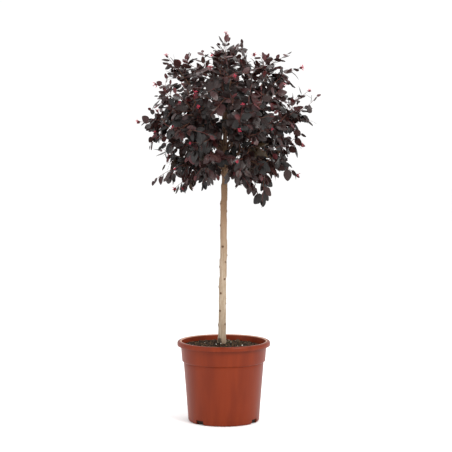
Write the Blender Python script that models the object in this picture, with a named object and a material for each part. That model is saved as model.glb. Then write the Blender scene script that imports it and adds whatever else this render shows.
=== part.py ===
"""A purple-leaved Chinese fringe flower, trained as a small tree in a round nursery pot.

The pot, the soil, the stem, the boughs and the masses of foliage are separate closed solids.
Lengths are in metres, +Z is up, +X is to the right of the front view and -Y is the front.
The origin is the middle of the pot's flat underside.
"""

import math
from dataclasses import dataclass, field

import bmesh
import bpy
import numpy as np
from mathutils import Matrix, Vector

SEED = 7

# Clearance between pieces that touch
GAP = 0.0003

# Pot: a thin turned shell with a folded lip, a collar and a tapering body
POT_HEIGHT = 0.225
POT_WALL = 0.0025
POT_FLOOR = 0.003
POT_SIDES = 36
LIP_RADIUS = 0.130
LIP_HEIGHT = 0.013
LIP_EDGE = 0.0012
FOLD_ROOF = 0.0035
FOLD_SLOPE = 0.002
COLLAR_TOP_RADIUS = 0.1203
COLLAR_FOOT_RADIUS = 0.1163
COLLAR_DEPTH = 0.056
STEP_HEIGHT = 0.003
BODY_TOP_RADIUS = 0.112
BODY_FOOT_RADIUS = 0.0988
FOOT_ROUNDING = 0.005

# Drainage notches through the foot: two pairs, degrees from the front towards the right
NOTCH_WIDTH = 0.026
NOTCH_HEIGHT = 0.010
NOTCH_DEPTH = 0.020
NOTCH_ANGLES = (59.1, -42.2)

# Soil: a low cone that slopes from the stem's foot to the wall
SOIL_CROWN = 0.2175
SOIL_EDGE = 0.2085
SOIL_FALL_TO_RIGHT = 0.0025
SOIL_UNEVENNESS = 0.0008
SOIL_PAD_RADIUS = 0.017
SOIL_RINGS = (1.0, 0.76, 0.5, 0.25, 0.0)

# Stem: from the soil to its fork, leaning a little to the right
STEM_FOOT_X = -0.005
STEM_TOP_X = 0.004
STEM_TOP_HEIGHT = 0.800
STEM_WANDER = 0.0011
STEM_WAVES_X = (2.6, 0.6)
STEM_WAVES_Y = (2.05, 2.0)
STEM_FLARE = 0.0024
STEM_FLARE_HEIGHT = 0.010
STEM_FOOT_RADIUS = 0.0104
STEM_CROWN_RADIUS = 0.0083
STEM_CROWN_HEIGHT = 0.655
STEM_TOP_RADIUS = 0.0052
STEM_SIDES = 14
STEM_RINGS = 20
STEM_CROWDING = 0.13

# Crown: its middle, the reach of its even surface, and the clear width between two masses
CROWN_MIDDLE = Vector((0.006, 0.0, 0.845))
CROWN_REACH = 0.206
MASS_SPACING = 0.006
MASS_UNEVENNESS = 0.08
MASS_WAVES = (3.5, 6.0, 9.0)
MASS_SUBDIVISIONS = 3
BOUGH_CLEARANCE = 0.003

# Rings of foliage: name, names of the masses from the first round to the left seen from above,
# azimuth of the first from the right, distance from the axis, height, and radius of a mass
FOLIAGE_RINGS = (
    ("top", ("",), 0.0, 0.0, 0.965, 0.088),
    ("upper", ("right", "back", "left", "front"), 8.0, 0.086, 0.922, 0.103),
    (
        "middle",
        ("right", "back_right", "back_left", "left", "front_left", "front_right"),
        -4.0,
        0.120,
        0.845,
        0.106,
    ),
    ("lower", ("back_right", "back_left", "front_left", "front_right"), 40.0, 0.108, 0.742, 0.112),
)

# Boughs: height on the stem where each ring's first bough leaves, and the step to the next one
BOUGH_START = {"top": STEM_TOP_HEIGHT, "upper": 0.757, "middle": 0.710, "lower": 0.682}
BOUGH_STEP = 0.006
BOUGH_ARCH = {"top": 0.0, "upper": 0.0, "middle": 0.004, "lower": 0.016}
BOUGH_SEAT = {"top": 0.054, "upper": 0.052, "middle": 0.058, "lower": 0.056}
BOUGH_FOOT_RADIUS = 0.0050
BOUGH_TIP_RADIUS = 0.0028
BOUGH_BEND = 0.35
BOUGH_SPREAD = 0.06
BOUGH_SIDES = 8
BOUGH_RINGS = 7

# Long shoots that stand out of the crown, seen from its middle: elevation in degrees and reach
SHOOTS_LEFT = (
    (64, 0.216),
    (46, 0.246),
    (26, 0.225),
    (-2, 0.251),
    (-19, 0.230),
    (-41, 0.272),
    (-54, 0.250),
)
SHOOTS_RIGHT = (
    (79, 0.219),
    (46, 0.254),
    (34, 0.258),
    (13, 0.266),
    (-2, 0.249),
    (-19, 0.231),
    (-38, 0.261),
)
SHOOT_SWING = 7.0

# The highest and the lowest shoot: azimuth from the right, elevation and reach
SHOOT_HIGHEST = (0.0, 90.0, 0.242)
SHOOT_LOWEST = (-35.0, -62.0, 0.268)

# Shoots of the front and back: number, spread to each side, lowest and highest elevation, reach
SHOOTS_AROUND = 18
AROUND_SPREAD = 50.0
AROUND_ELEVATION = (-55.0, 70.0)
AROUND_REACH = (0.224, 0.262)

# Width in degrees of the swelling that carries a shoot, seen from the middle of its mass
SHOOT_WIDTH = 10.0

# Materials: colour as shares of red, green and blue light, and roughness
MATERIALS = {
    "terracotta_plastic": ((0.28, 0.048, 0.019), 0.45),
    "potting_soil": ((0.030, 0.016, 0.008), 0.95),
    "pale_bark": ((0.50, 0.36, 0.24), 0.75),
    "twig_bark": ((0.16, 0.075, 0.045), 0.70),
    "plum_leaves": ((0.045, 0.020, 0.023), 0.50),
}

# Edges sharper than this many degrees stay sharp under the smooth shading
SHARP_ANGLE = 35.0


def clear_scene():
    for item in list(bpy.data.objects):
        bpy.data.objects.remove(item, do_unlink=True)


def make_material(name):
    colour, roughness = MATERIALS[name]
    material = bpy.data.materials.new(name)
    material.use_nodes = True
    shader = material.node_tree.nodes["Principled BSDF"]
    shader.inputs["Base Color"].default_value = (*colour, 1.0)
    shader.inputs["Roughness"].default_value = roughness
    shader.inputs["Metallic"].default_value = 0.0
    return material


def add_object(name, points, faces, material):
    """A mesh object of the points and faces, with its faces pointing out and shaded smooth."""
    mesh = bpy.data.meshes.new(name)
    mesh.from_pydata([tuple(p) for p in points], [], faces)
    shape = bmesh.new()
    shape.from_mesh(mesh)
    bmesh.ops.recalc_face_normals(shape, faces=shape.faces)
    shape.to_mesh(mesh)
    shape.free()
    mesh.shade_smooth()
    mesh.set_sharp_from_angle(angle=math.radians(SHARP_ANGLE))
    item = bpy.data.objects.new(name, mesh)
    bpy.context.collection.objects.link(item)
    item.data.materials.append(material)
    return item


def cut_away(item, cutter):
    """Takes the cutter out of an object, and hides the cutter."""
    cutter.hide_render = True
    cutter.display_type = "WIRE"
    modifier = item.modifiers.new("Cut by " + cutter.name, "BOOLEAN")
    modifier.operation = "DIFFERENCE"
    modifier.solver = "EXACT"
    modifier.object = cutter


def turned_points(profile, sides):
    """The points of a profile of (radius, height) pairs turned round the Z axis, ring by ring."""
    return [
        (radius * math.cos(turn), radius * math.sin(turn), height)
        for radius, height in profile
        for turn in (2 * math.pi * k / sides for k in range(sides))
    ]


def ring_faces(rings, sides):
    """The faces between successive rings of points."""
    return [
        (
            r * sides + k,
            r * sides + (k + 1) % sides,
            (r + 1) * sides + (k + 1) % sides,
            (r + 1) * sides + k,
        )
        for r in range(rings - 1)
        for k in range(sides)
    ]


def end_faces(rings, sides):
    """The two flat faces that close the first and the last ring."""
    last = (rings - 1) * sides
    return [tuple(range(sides)), tuple(range(last, last + sides))]


def arc(middle_radius, middle_height, size, first, last, steps):
    """Points of an arc in the profile's plane, with angles in degrees from outwards to up."""
    return [
        (
            middle_radius + size * math.cos(math.radians(angle)),
            middle_height + size * math.sin(math.radians(angle)),
        )
        for angle in np.linspace(first, last, steps)
    ]


def body_radius(height):
    """The pot body's outer radius, which tapers from below the collar to the foot."""
    top = POT_HEIGHT - COLLAR_DEPTH - STEP_HEIGHT
    share = height / top
    return BODY_FOOT_RADIUS + (BODY_TOP_RADIUS - BODY_FOOT_RADIUS) * share


def pot_outside():
    """The outer profile from the underside up to the lip's crest."""
    step_foot = POT_HEIGHT - COLLAR_DEPTH - STEP_HEIGHT
    step_top = POT_HEIGHT - COLLAR_DEPTH
    lip_middle = LIP_RADIUS - LIP_HEIGHT / 2
    lip_foot = POT_HEIGHT - LIP_HEIGHT
    fold_roof = POT_HEIGHT - FOLD_ROOF
    rounding = arc(
        body_radius(FOOT_ROUNDING) - FOOT_ROUNDING, FOOT_ROUNDING, FOOT_ROUNDING, -90, 0, 3
    )
    fold = [
        (COLLAR_TOP_RADIUS, fold_roof),
        (LIP_RADIUS - POT_WALL, fold_roof - FOLD_SLOPE),
        (LIP_RADIUS - POT_WALL, lip_foot),
        (LIP_RADIUS - LIP_EDGE, lip_foot),
        (LIP_RADIUS, lip_foot + LIP_EDGE),
    ]
    crest = arc(lip_middle, POT_HEIGHT - LIP_HEIGHT / 2, LIP_HEIGHT / 2, 0, 90, 4)
    return [
        *rounding,
        (body_radius(step_foot), step_foot),
        (COLLAR_FOOT_RADIUS, step_top),
        *fold,
        *crest,
    ]


def pot_inside():
    """The inner profile from the lip's crest down to the floor."""
    step_foot = POT_HEIGHT - COLLAR_DEPTH - STEP_HEIGHT
    step_top = POT_HEIGHT - COLLAR_DEPTH
    return [
        (COLLAR_TOP_RADIUS - POT_WALL, POT_HEIGHT - POT_WALL),
        (COLLAR_FOOT_RADIUS - POT_WALL, step_top),
        (body_radius(step_foot) - POT_WALL, step_foot),
        (body_radius(POT_FLOOR) - POT_WALL, POT_FLOOR),
    ]


def inner_radius(height):
    """The radius of the pot's inner wall at a height."""
    profile = pot_inside()[::-1]
    return float(np.interp(height, [z for _, z in profile], [r for r, _ in profile]))


def make_pot(material):
    profile = pot_outside() + pot_inside()
    points = turned_points(profile, POT_SIDES)
    faces = ring_faces(len(profile), POT_SIDES) + end_faces(len(profile), POT_SIDES)
    pot = add_object("pot", points, faces, material)
    for number, angle in enumerate(NOTCH_ANGLES):
        for half_turn in (0.0, 180.0):
            side = math.radians(angle + half_turn - 90.0)
            notch = make_notch(f"notch_{number}_{int(half_turn)}", side, material)
            cut_away(pot, notch)
    return pot


def make_notch(name, side, material):
    """A block that cuts one drainage notch out of the pot's foot, at an angle round the axis."""
    block = bmesh.new()
    bmesh.ops.create_cube(block, size=1.0)
    size = Matrix.Diagonal((2 * NOTCH_DEPTH, NOTCH_WIDTH, 2 * NOTCH_HEIGHT, 1.0))
    turned = Matrix.Rotation(side, 4, "Z") @ Matrix.Translation((BODY_FOOT_RADIUS, 0.0, 0.0))
    block.transform(turned @ size)
    mesh = bpy.data.meshes.new(name)
    block.to_mesh(mesh)
    block.free()
    item = bpy.data.objects.new(name, mesh)
    bpy.context.collection.objects.link(item)
    item.data.materials.append(material)
    return item


def soil_point(share, turn, unevenness):
    """A point of the soil's surface, from the flat pad round the stem (0) to the wall (1)."""
    edge_height = SOIL_EDGE - SOIL_FALL_TO_RIGHT * math.cos(turn)
    edge_radius = inner_radius(edge_height) - 2 * GAP
    pad = Vector((SOIL_PAD_RADIUS * math.cos(turn), SOIL_PAD_RADIUS * math.sin(turn), SOIL_CROWN))
    pad.x += STEM_FOOT_X
    edge = Vector((edge_radius * math.cos(turn), edge_radius * math.sin(turn), edge_height))
    point = pad.lerp(edge, share)
    point.z += unevenness * share
    return point


def make_soil(material):
    """The root ball: it fills the pot and ends in a low uneven cone."""
    rng = np.random.default_rng(SEED)
    wall = [(radius - GAP, height + GAP) for radius, height in pot_inside()[:0:-1]]
    points = turned_points(wall, POT_SIDES)
    for share in SOIL_RINGS:
        for k in range(POT_SIDES):
            turn = 2 * math.pi * k / POT_SIDES
            points.append(soil_point(share, turn, rng.uniform(-1, 1) * SOIL_UNEVENNESS))
    rings = len(wall) + len(SOIL_RINGS)
    faces = ring_faces(rings, POT_SIDES) + end_faces(rings, POT_SIDES)
    return add_object("soil", points, faces, material)


def along(path, radii, sides):
    """Rings of points round a path, each ring square to the path there."""
    path = [Vector(p) for p in path]
    points = []
    side = None
    for number, middle in enumerate(path):
        before = path[max(number - 1, 0)]
        after = path[min(number + 1, len(path) - 1)]
        forward = (after - before).normalized()
        if side is None:
            side = forward.orthogonal().normalized()
        side = (side - forward * side.dot(forward)).normalized()
        across = forward.cross(side)
        for k in range(sides):
            turn = 2 * math.pi * k / sides
            points.append(
                middle + (side * math.cos(turn) + across * math.sin(turn)) * radii[number]
            )
    return points


def make_limb(name, path, radii, sides, material):
    points = along(path, radii, sides)
    faces = ring_faces(len(path), sides) + end_faces(len(path), sides)
    return add_object(name, points, faces, material)


def stem_middle(height):
    """The stem's middle at a height: a straight lean with two slow waves that end flat."""
    foot = SOIL_CROWN + GAP
    share = (height - foot) / (STEM_TOP_HEIGHT - foot)
    lean = STEM_FOOT_X + (STEM_TOP_X - STEM_FOOT_X) * share
    fade = math.sin(math.pi * min(max(share, 0.0), 1.0))
    waves = [
        STEM_WANDER * fade * math.sin(2 * math.pi * turns * share + phase)
        for turns, phase in (STEM_WAVES_X, STEM_WAVES_Y)
    ]
    return Vector((lean + waves[0], waves[1], height))


def stem_radius(height):
    """The stem's radius: a flare at the foot, a slight taper, then a quick one to the fork."""
    foot = SOIL_CROWN + GAP
    flare = STEM_FLARE * math.exp(-(height - foot) / STEM_FLARE_HEIGHT)
    taper = np.interp(
        height,
        (foot, STEM_CROWN_HEIGHT, STEM_TOP_HEIGHT),
        (STEM_FOOT_RADIUS, STEM_CROWN_RADIUS, STEM_TOP_RADIUS),
    )
    return float(taper) + flare


def stem_heights():
    """Heights of the stem's rings, closest together in the flare and at the fork."""
    foot = SOIL_CROWN + GAP
    shares = np.linspace(0.0, 1.0, STEM_RINGS)
    shares = shares - STEM_CROWDING * np.sin(2 * math.pi * shares)
    return [foot + (STEM_TOP_HEIGHT - foot) * float(s) for s in shares]


def make_stem(material):
    heights = stem_heights()
    path = [stem_middle(h) for h in heights]
    path[0].xy = (STEM_FOOT_X, 0.0)
    radii = [stem_radius(h) for h in heights]
    stem = make_limb("stem", path, radii, STEM_SIDES, material)
    flatten_end(stem, STEM_SIDES, 0, heights[0])
    flatten_end(stem, STEM_SIDES, len(heights) - 1, heights[-1])
    return stem


def flatten_end(item, sides, ring, height):
    """Sets one ring of a limb to a level height, so that its cut is flat and level."""
    for vertex in item.data.vertices[ring * sides : (ring + 1) * sides]:
        vertex.co.z = height


def make_stem_cutter(material):
    """The stem's form grown by the clearance, which cuts the boughs' feet to fit it."""
    heights = stem_heights()
    path = [stem_middle(h) for h in heights]
    radii = [stem_radius(h) + GAP for h in heights]
    cutter = make_limb("stem_cutter", path, radii, STEM_SIDES, material)
    flatten_end(cutter, STEM_SIDES, 0, heights[0])
    flatten_end(cutter, STEM_SIDES, len(heights) - 1, heights[-1] + GAP)
    return cutter


@dataclass
class Mass:
    """A mass of foliage: its middle and radius, where its bough starts, and the bough's path."""

    name: str
    ring: str
    middle: Vector
    radius: float
    start: Vector
    bough: list = field(default_factory=list)


def plan_masses():
    masses = []
    for ring, names, first, distance, height, radius in FOLIAGE_RINGS:
        count = len(names)
        for number, name in enumerate(names):
            azimuth = math.radians(first + 360.0 * number / count)
            offset = Vector((distance * math.cos(azimuth), distance * math.sin(azimuth), height))
            middle = offset + Vector((CROWN_MIDDLE.x, CROWN_MIDDLE.y, 0.0))
            level = number * 2 % count + number / count
            start = stem_middle(BOUGH_START[ring] + BOUGH_STEP * level)
            full_name = "_".join(word for word in (ring, name) if word)
            masses.append(Mass(full_name, ring, middle, radius, start))
    return masses


def bough_path(mass):
    """A bough's path: it leaves the stem at a slant, and ends pointing at its mass's middle."""
    start = mass.start
    if mass.ring == "top":
        start = start + Vector((0.0, 0.0, GAP))
    straight = mass.middle - start
    bend = start + straight * BOUGH_BEND
    bend += Vector((straight.x, straight.y, 0.0)) * BOUGH_SPREAD
    bend.z += BOUGH_ARCH[mass.ring]
    end = mass.middle - (mass.middle - bend).normalized() * BOUGH_SEAT[mass.ring]
    return [
        start * (1 - share) ** 2 + bend * 2 * share * (1 - share) + end * share**2
        for share in (k / (BOUGH_RINGS - 1) for k in range(BOUGH_RINGS))
    ]


def bough_radii():
    return [
        BOUGH_FOOT_RADIUS + (BOUGH_TIP_RADIUS - BOUGH_FOOT_RADIUS) * k / (BOUGH_RINGS - 1)
        for k in range(BOUGH_RINGS)
    ]


def make_boughs(masses, material, cutter):
    """One tapering bough to each mass. Its foot is cut to the stem and its end is flat."""
    for mass in masses:
        mass.bough = bough_path(mass)
        bough = make_limb(
            "bough_" + mass.name, mass.bough, bough_radii(), BOUGH_SIDES, material
        )
        end = mass.bough[-1]
        square_end(bough, end, (mass.middle - end).normalized())
        if mass.ring == "top":
            flatten_end(bough, BOUGH_SIDES, 0, mass.bough[0].z)
        else:
            cut_away(bough, cutter)


def square_end(bough, end, aim):
    """Moves a bough's last ring into the plane through its end that is square to its aim."""
    first = (BOUGH_RINGS - 1) * BOUGH_SIDES
    for vertex in bough.data.vertices[first:]:
        offset = (vertex.co - end).dot(aim)
        vertex.co -= aim * offset


def all_shoots():
    """The tips of the long shoots: those of the outline, then seeded ones front and back."""
    rng = np.random.default_rng(SEED + 1)
    shoots = []
    for side, table in ((180.0, SHOOTS_LEFT), (0.0, SHOOTS_RIGHT)):
        for elevation, reach in table:
            shoots.append((side + rng.uniform(-1, 1) * SHOOT_SWING, elevation, reach))
    shoots += [SHOOT_HIGHEST, SHOOT_LOWEST]
    for number, elevation in enumerate(np.linspace(*AROUND_ELEVATION, SHOOTS_AROUND)):
        side = 90.0 if number % 2 else 270.0
        azimuth = side + rng.uniform(-1, 1) * AROUND_SPREAD
        shoots.append((azimuth, elevation, rng.uniform(*AROUND_REACH)))
    return [CROWN_MIDDLE + direction(azimuth, up) * reach for azimuth, up, reach in shoots]


def direction(azimuth, elevation):
    azimuth = math.radians(azimuth)
    elevation = math.radians(elevation)
    level = math.cos(elevation)
    return Vector(
        (level * math.cos(azimuth), level * math.sin(azimuth), math.sin(elevation))
    )


def even_sphere():
    """The directions and faces of a sphere of nearly even triangles."""
    shape = bmesh.new()
    bmesh.ops.create_icosphere(shape, subdivisions=MASS_SUBDIVISIONS, radius=1.0)
    directions = np.array([v.co[:] for v in shape.verts])
    faces = [tuple(v.index for v in face.verts) for face in shape.faces]
    shape.free()
    return directions / np.linalg.norm(directions, axis=1)[:, None], faces


def surface_waves(directions, rng):
    """Smooth unevenness over a sphere: the sum of three waves of seeded aim and phase."""
    total = np.zeros(len(directions))
    for frequency in MASS_WAVES:
        aim = rng.normal(size=3)
        aim /= np.linalg.norm(aim)
        total += np.sin(frequency * (directions @ aim) + rng.uniform(0, 2 * math.pi))
    return total / len(MASS_WAVES)


def crown_limit(middle, directions):
    """How far each direction runs from a mass's middle to the crown's even surface."""
    offset = np.array(middle - CROWN_MIDDLE)
    slope = directions @ offset
    return -slope + np.sqrt(slope**2 + CROWN_REACH**2 - offset @ offset)


def keep_behind(reach, directions, normal, distance):
    """Shortens each reach so that it stays behind a plane at a distance from the middle."""
    toward = directions @ np.array(normal)
    facing = toward > 0.0
    limit = np.full(len(directions), np.inf)
    limit[facing] = distance / toward[facing]
    return np.minimum(reach, limit)


def nearest_on(start, end, place):
    """The point of a straight stretch that is nearest to a place."""
    run = end - start
    share = (place - start).dot(run) / run.length_squared
    return start + run * min(max(share, 0.0), 1.0)


def keep_off_limb(reach, directions, middle, path, radius):
    """Cuts a mass clear of each straight stretch of a limb."""
    for start, end in zip(path, path[1:]):
        away = nearest_on(start, end, middle) - middle
        distance = away.length - radius - BOUGH_CLEARANCE
        reach = keep_behind(reach, directions, away.normalized(), distance)
    return reach


def add_shoots(reach, directions, middle, tips):
    """Draws the surface out to the tip of each shoot, with the nearest point at the tip itself."""
    width = math.radians(SHOOT_WIDTH)
    for tip in tips:
        toward = tip - middle
        aim = np.array(toward.normalized())
        nearest = int(np.argmax(directions @ aim))
        angle = np.arccos(np.clip(directions @ aim, -1.0, 1.0))
        swell = np.exp(-((angle / width) ** 2))
        reach = reach + np.maximum(toward.length - reach, 0.0) * swell
        directions[nearest] = aim
        reach[nearest] = toward.length
    return reach


def mass_reach(mass, masses, directions, tips, rng):
    """How far a mass reaches in each direction, with the flat cuts that keep it to its place."""
    even = np.minimum(mass.radius, crown_limit(mass.middle, directions))
    reach = even * (1.0 + MASS_UNEVENNESS * surface_waves(directions, rng))
    reach = add_shoots(reach, directions, mass.middle, tips)
    for other in masses:
        if other is not mass:
            away = other.middle - mass.middle
            distance = (away.length - MASS_SPACING) / 2
            reach = keep_behind(reach, directions, away.normalized(), distance)
            reach = keep_off_limb(
                reach, directions, mass.middle, other.bough, BOUGH_FOOT_RADIUS
            )
    stem_path = [stem_middle(height) for height in stem_heights()]
    reach = keep_off_limb(reach, directions, mass.middle, stem_path, STEM_CROWN_RADIUS)
    seat = mass.bough[-1] - mass.middle
    return keep_behind(reach, directions, seat.normalized(), seat.length - GAP)


def make_masses(masses, material):
    """Closed uneven solids, each kept in its own part of the crown and clear of every limb."""
    sphere, faces = even_sphere()
    tips = {mass.name: [] for mass in masses}
    for tip in all_shoots():
        nearest = min(masses, key=lambda mass: (mass.middle - tip).length)
        tips[nearest.name].append(tip)
    for number, mass in enumerate(masses):
        rng = np.random.default_rng([SEED, number])
        directions = sphere.copy()
        reach = mass_reach(mass, masses, directions, tips[mass.name], rng)
        points = np.array(mass.middle) + directions * reach[:, None]
        add_object("foliage_" + mass.name, points, faces, material)


def main():
    clear_scene()
    bark = make_material("pale_bark")
    make_pot(make_material("terracotta_plastic"))
    make_soil(make_material("potting_soil"))
    make_stem(bark)
    cutter = make_stem_cutter(bark)
    masses = plan_masses()
    make_boughs(masses, make_material("twig_bark"), cutter)
    make_masses(masses, make_material("plum_leaves"))


main()
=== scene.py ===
"""The looks of a purple-leaved Chinese fringe flower, grown as a small standard tree in a nursery pot.

The file is laid out as a Blender add-on and run as a script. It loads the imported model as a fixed
frame and puts finely shaped, finished pieces in the place of its plain solids. Lengths are in metres,
+Z is up, +X is to the right of the front view and -Y is the front.
"""

import math
from dataclasses import dataclass
from functools import lru_cache

import bpy
import numpy as np
from bpy.props import FloatProperty, FloatVectorProperty, IntProperty, PointerProperty
from mathutils import Matrix, Vector
from mathutils.bvhtree import BVHTree


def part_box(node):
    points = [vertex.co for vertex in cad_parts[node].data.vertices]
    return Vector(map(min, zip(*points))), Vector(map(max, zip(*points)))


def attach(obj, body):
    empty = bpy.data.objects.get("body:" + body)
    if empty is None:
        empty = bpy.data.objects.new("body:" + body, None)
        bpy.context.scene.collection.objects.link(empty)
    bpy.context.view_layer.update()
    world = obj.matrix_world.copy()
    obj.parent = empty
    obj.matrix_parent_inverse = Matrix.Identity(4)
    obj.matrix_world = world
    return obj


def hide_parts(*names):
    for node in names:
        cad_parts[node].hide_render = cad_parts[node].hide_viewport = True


bl_info = {
    "name": "Potted Fringe Flower",
    "version": (1, 0, 0),
    "blender": (4, 5, 0),
    "location": "View3D > Sidebar > Fringe Flower",
    "description": "Builds the pot, soil, bark, twigs, leaves and blossom of a small standard tree",
    "category": "Object",
}

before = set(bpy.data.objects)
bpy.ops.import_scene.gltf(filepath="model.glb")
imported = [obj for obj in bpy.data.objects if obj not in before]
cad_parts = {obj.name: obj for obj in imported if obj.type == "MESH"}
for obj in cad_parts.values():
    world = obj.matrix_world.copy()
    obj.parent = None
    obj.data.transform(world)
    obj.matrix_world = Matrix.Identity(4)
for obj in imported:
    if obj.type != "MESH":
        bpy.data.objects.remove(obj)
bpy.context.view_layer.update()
ROOT = "root"
BOUGHS = sorted(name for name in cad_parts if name.startswith("bough_"))
MASSES = sorted(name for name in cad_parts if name.startswith("foliage_"))
POT_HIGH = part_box("pot")[1]
SOIL_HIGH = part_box("soil")[1]
STEM_LOW, STEM_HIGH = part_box("stem")

# The map that the pieces bring with them, on which their patterns are drawn
OWN_MAP = "OFBake"

# Knots of the stem: height, and place across its front from its left edge (-1) to its right edge (1)
KNOTS = (
    (0.608, -0.82), (0.587, 0.98), (0.548, -0.88), (0.489, -0.30), (0.4645, 0.98),
    (0.446, 0.72), (0.432, -0.92), (0.3985, 0.55), (0.376, -0.94), (0.359, -0.48),
    (0.3296, 0.95), (0.3096, -0.62), (0.272, 0.66), (0.269, -0.99),
)
KNOTS_BEHIND = 9

# Blossom that shows from the front: place across and height on the upright plane through the stem
BLOOMS = (
    (-0.159, 1.019), (0.004, 1.082), (-0.190, 0.939), (-0.182, 0.865), (-0.240, 0.832),
    (-0.190, 0.807), (-0.149, 0.649), (-0.088, 0.652), (0.216, 0.997), (0.236, 0.920),
    (0.167, 0.937), (0.120, 0.641), (0.037, 0.727), (0.131, 0.815), (0.042, 0.812),
    (0.053, 0.881), (-0.079, 0.915), (-0.071, 0.876), (-0.038, 0.986), (-0.032, 1.016),
    (0.084, 1.019), (-0.124, 0.887), (-0.091, 0.776), (-0.135, 0.707), (-0.140, 0.821),
    (0.028, 0.961),
)


def length(name, description, default):
    """A property that holds a length in metres."""
    return FloatProperty(
        name=name, description=description, default=default, precision=4, unit="LENGTH"
    )


def share(name, description, default):
    """A property that holds a share or a plain factor."""
    return FloatProperty(name=name, description=description, default=default, subtype="FACTOR")


def count(name, description, default):
    """A property that holds a whole number."""
    return IntProperty(name=name, description=description, default=default, min=0)


def colour(name, description, default):
    """A property that holds a colour as shares of red, green and blue light."""
    return FloatVectorProperty(
        name=name, description=description, default=default, subtype="COLOR", min=0.0, max=1.0
    )


class PotLooks(bpy.types.PropertyGroup):
    """Sizes of the pot's mouldings, and the colour of its plastic"""

    wall: length("Wall", "Thickness of the plastic", 0.0025)
    floor: length("Floor", "Thickness of the floor", 0.003)
    lip: length("Lip", "Height of the rolled lip", 0.013)
    collar: length("Collar", "Depth of the collar below the crest of the lip", 0.056)
    step: length("Step", "Height of the step under the collar", 0.003)
    collar_inset: length("Collar inset", "From the lip's edge in to the collar", 0.0097)
    collar_taper: length("Collar taper", "How far the collar narrows towards its foot", 0.004)
    step_inset: length("Step inset", "From the collar's foot in to the body", 0.0043)
    foot: length("Foot", "Radius of the body at the ground", 0.0988)
    rounding: length("Rounding", "Radius of the rounding at the foot", 0.005)
    notch_width: length("Notch width", "Width of a drainage notch", 0.026)
    notch_height: length("Notch height", "Height of a drainage notch", 0.0122)
    notch_depth: length("Notch depth", "How far a notch runs in under the floor", 0.020)
    plastic: colour("Plastic", "Colour of the plastic", (0.158, 0.0165, 0.0008))


class SoilLooks(bpy.types.PropertyGroup):
    """Sizes and colours of the potting mix"""

    seed: count("Seed", "Number that fixes where the crumbs fall", 11)
    relief: length("Relief", "Unevenness of the surface", 0.0016)
    crumbs: count("Crumbs", "Number of loose crumbs", 2300)
    crumb: length("Crumb", "Usual size of a crumb", 0.0026)
    earth: colour("Earth", "Colour of the moist mix", (0.0125, 0.0066, 0.0034))


class BarkLooks(bpy.types.PropertyGroup):
    """Relief and colours of the stem, the boughs and the twigs"""

    seed: count("Seed", "Number that fixes the relief", 5)
    relief: length("Relief", "Depth of the stem's bark", 0.00022)
    knot: length("Knot", "How far a knot stands out", 0.0019)
    knot_size: length("Knot size", "Half width of a knot", 0.0040)
    stem: colour("Stem", "Colour of the pale bark", (0.390, 0.312, 0.234))
    bough: colour("Bough", "Colour of the older branches", (0.150, 0.078, 0.045))
    twig: colour("Twig", "Colour of the twigs", (0.130, 0.052, 0.030))
    young: colour("Young shoot", "Colour of the ends of the shoots", (0.115, 0.026, 0.022))


class CrownGrowth(bpy.types.PropertyGroup):
    """How the crown grows on from the boughs"""

    seed: count("Seed", "Number that fixes how the crown grows", 3)
    sprays: count("Sprays", "Number of leafy twigs, besides the long shoots", 640)
    reach: length("Reach", "Radius of the crown's even surface", 0.206)
    tip: length("Tip", "Radius of a twig's tip", 0.00055)


class LeafLooks(bpy.types.PropertyGroup):
    """Size, setting and colours of the leaves"""

    seed: count("Seed", "Number that fixes how the leaves lie", 21)
    length: length("Length", "Usual length of a full-grown leaf", 0.0280)
    spacing: length("Spacing", "From one leaf to the next along a twig", 0.0108)
    leafy: length("Leafy end", "Length of a twig that bears leaves", 0.080)
    petiole: length("Petiole", "Length of a leaf's stalk", 0.0035)
    plum: colour("Plum", "Upper side of most leaves", (0.0092, 0.0030, 0.0026))
    # The dark colour is also painted shade on the leaves in the crown's heart
    dark: colour("Dark", "Upper side of the shaded leaves", (0.0030, 0.0016, 0.0014))
    burgundy: colour("Burgundy", "Upper side of the leaves near the ends", (0.024, 0.0043, 0.0047))
    wine: colour("Wine", "Upper side of the youngest leaves", (0.045, 0.0064, 0.0092))
    bronze: colour("Bronze", "Upper side of old leaves low in the crown", (0.024, 0.016, 0.0060))
    under: colour("Underside", "Under side of a leaf", (0.044, 0.019, 0.0165))


class BloomLooks(bpy.types.PropertyGroup):
    """Size and colours of the blossom"""

    seed: count("Seed", "Number that fixes how the petals lie", 31)
    petal: length("Petal", "Length of a full-grown petal", 0.0105)
    width: length("Width", "Width of a petal", 0.0015)
    crimson: colour("Crimson", "Colour of the petals", (0.46, 0.009, 0.045))
    calyx: colour("Calyx", "Colour of the calyx and the buds", (0.130, 0.014, 0.020))


class StageLooks(bpy.types.PropertyGroup):
    """The camera, the lights and the floor"""

    distance: length("Distance", "From the camera to the stem", 4.5)
    height: length("Camera height", "Height of the camera", 0.900)
    shift: length("Camera place", "How far the camera stands to the right", 0.0064)
    pitch: FloatProperty(
        name="Pitch",
        description="How far the camera looks down",
        default=math.radians(4.5),
        subtype="ANGLE",
    )
    lens: FloatProperty(
        name="Lens", description="Focal length in millimetres", default=129.3, unit="CAMERA"
    )
    daylight: share("Daylight", "Strength of the even light from all round", 1.04)
    floor: length("Floor", "Width of the floor", 24.0)


# Numbers on whole arrays


def unit(vectors):
    """The vectors, each drawn to a length of one."""
    return vectors / np.maximum(np.linalg.norm(vectors, axis=-1, keepdims=True), 1e-12)


def far(points, place):
    """How far points lie from a place."""
    return np.linalg.norm(points - place, axis=-1)


def circle(sides):
    """The cosine and the sine of each point round a circle, as rows."""
    turn = np.linspace(0, 2 * math.pi, sides, endpoint=False)
    return np.stack([np.cos(turn), np.sin(turn)], 1)


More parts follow.
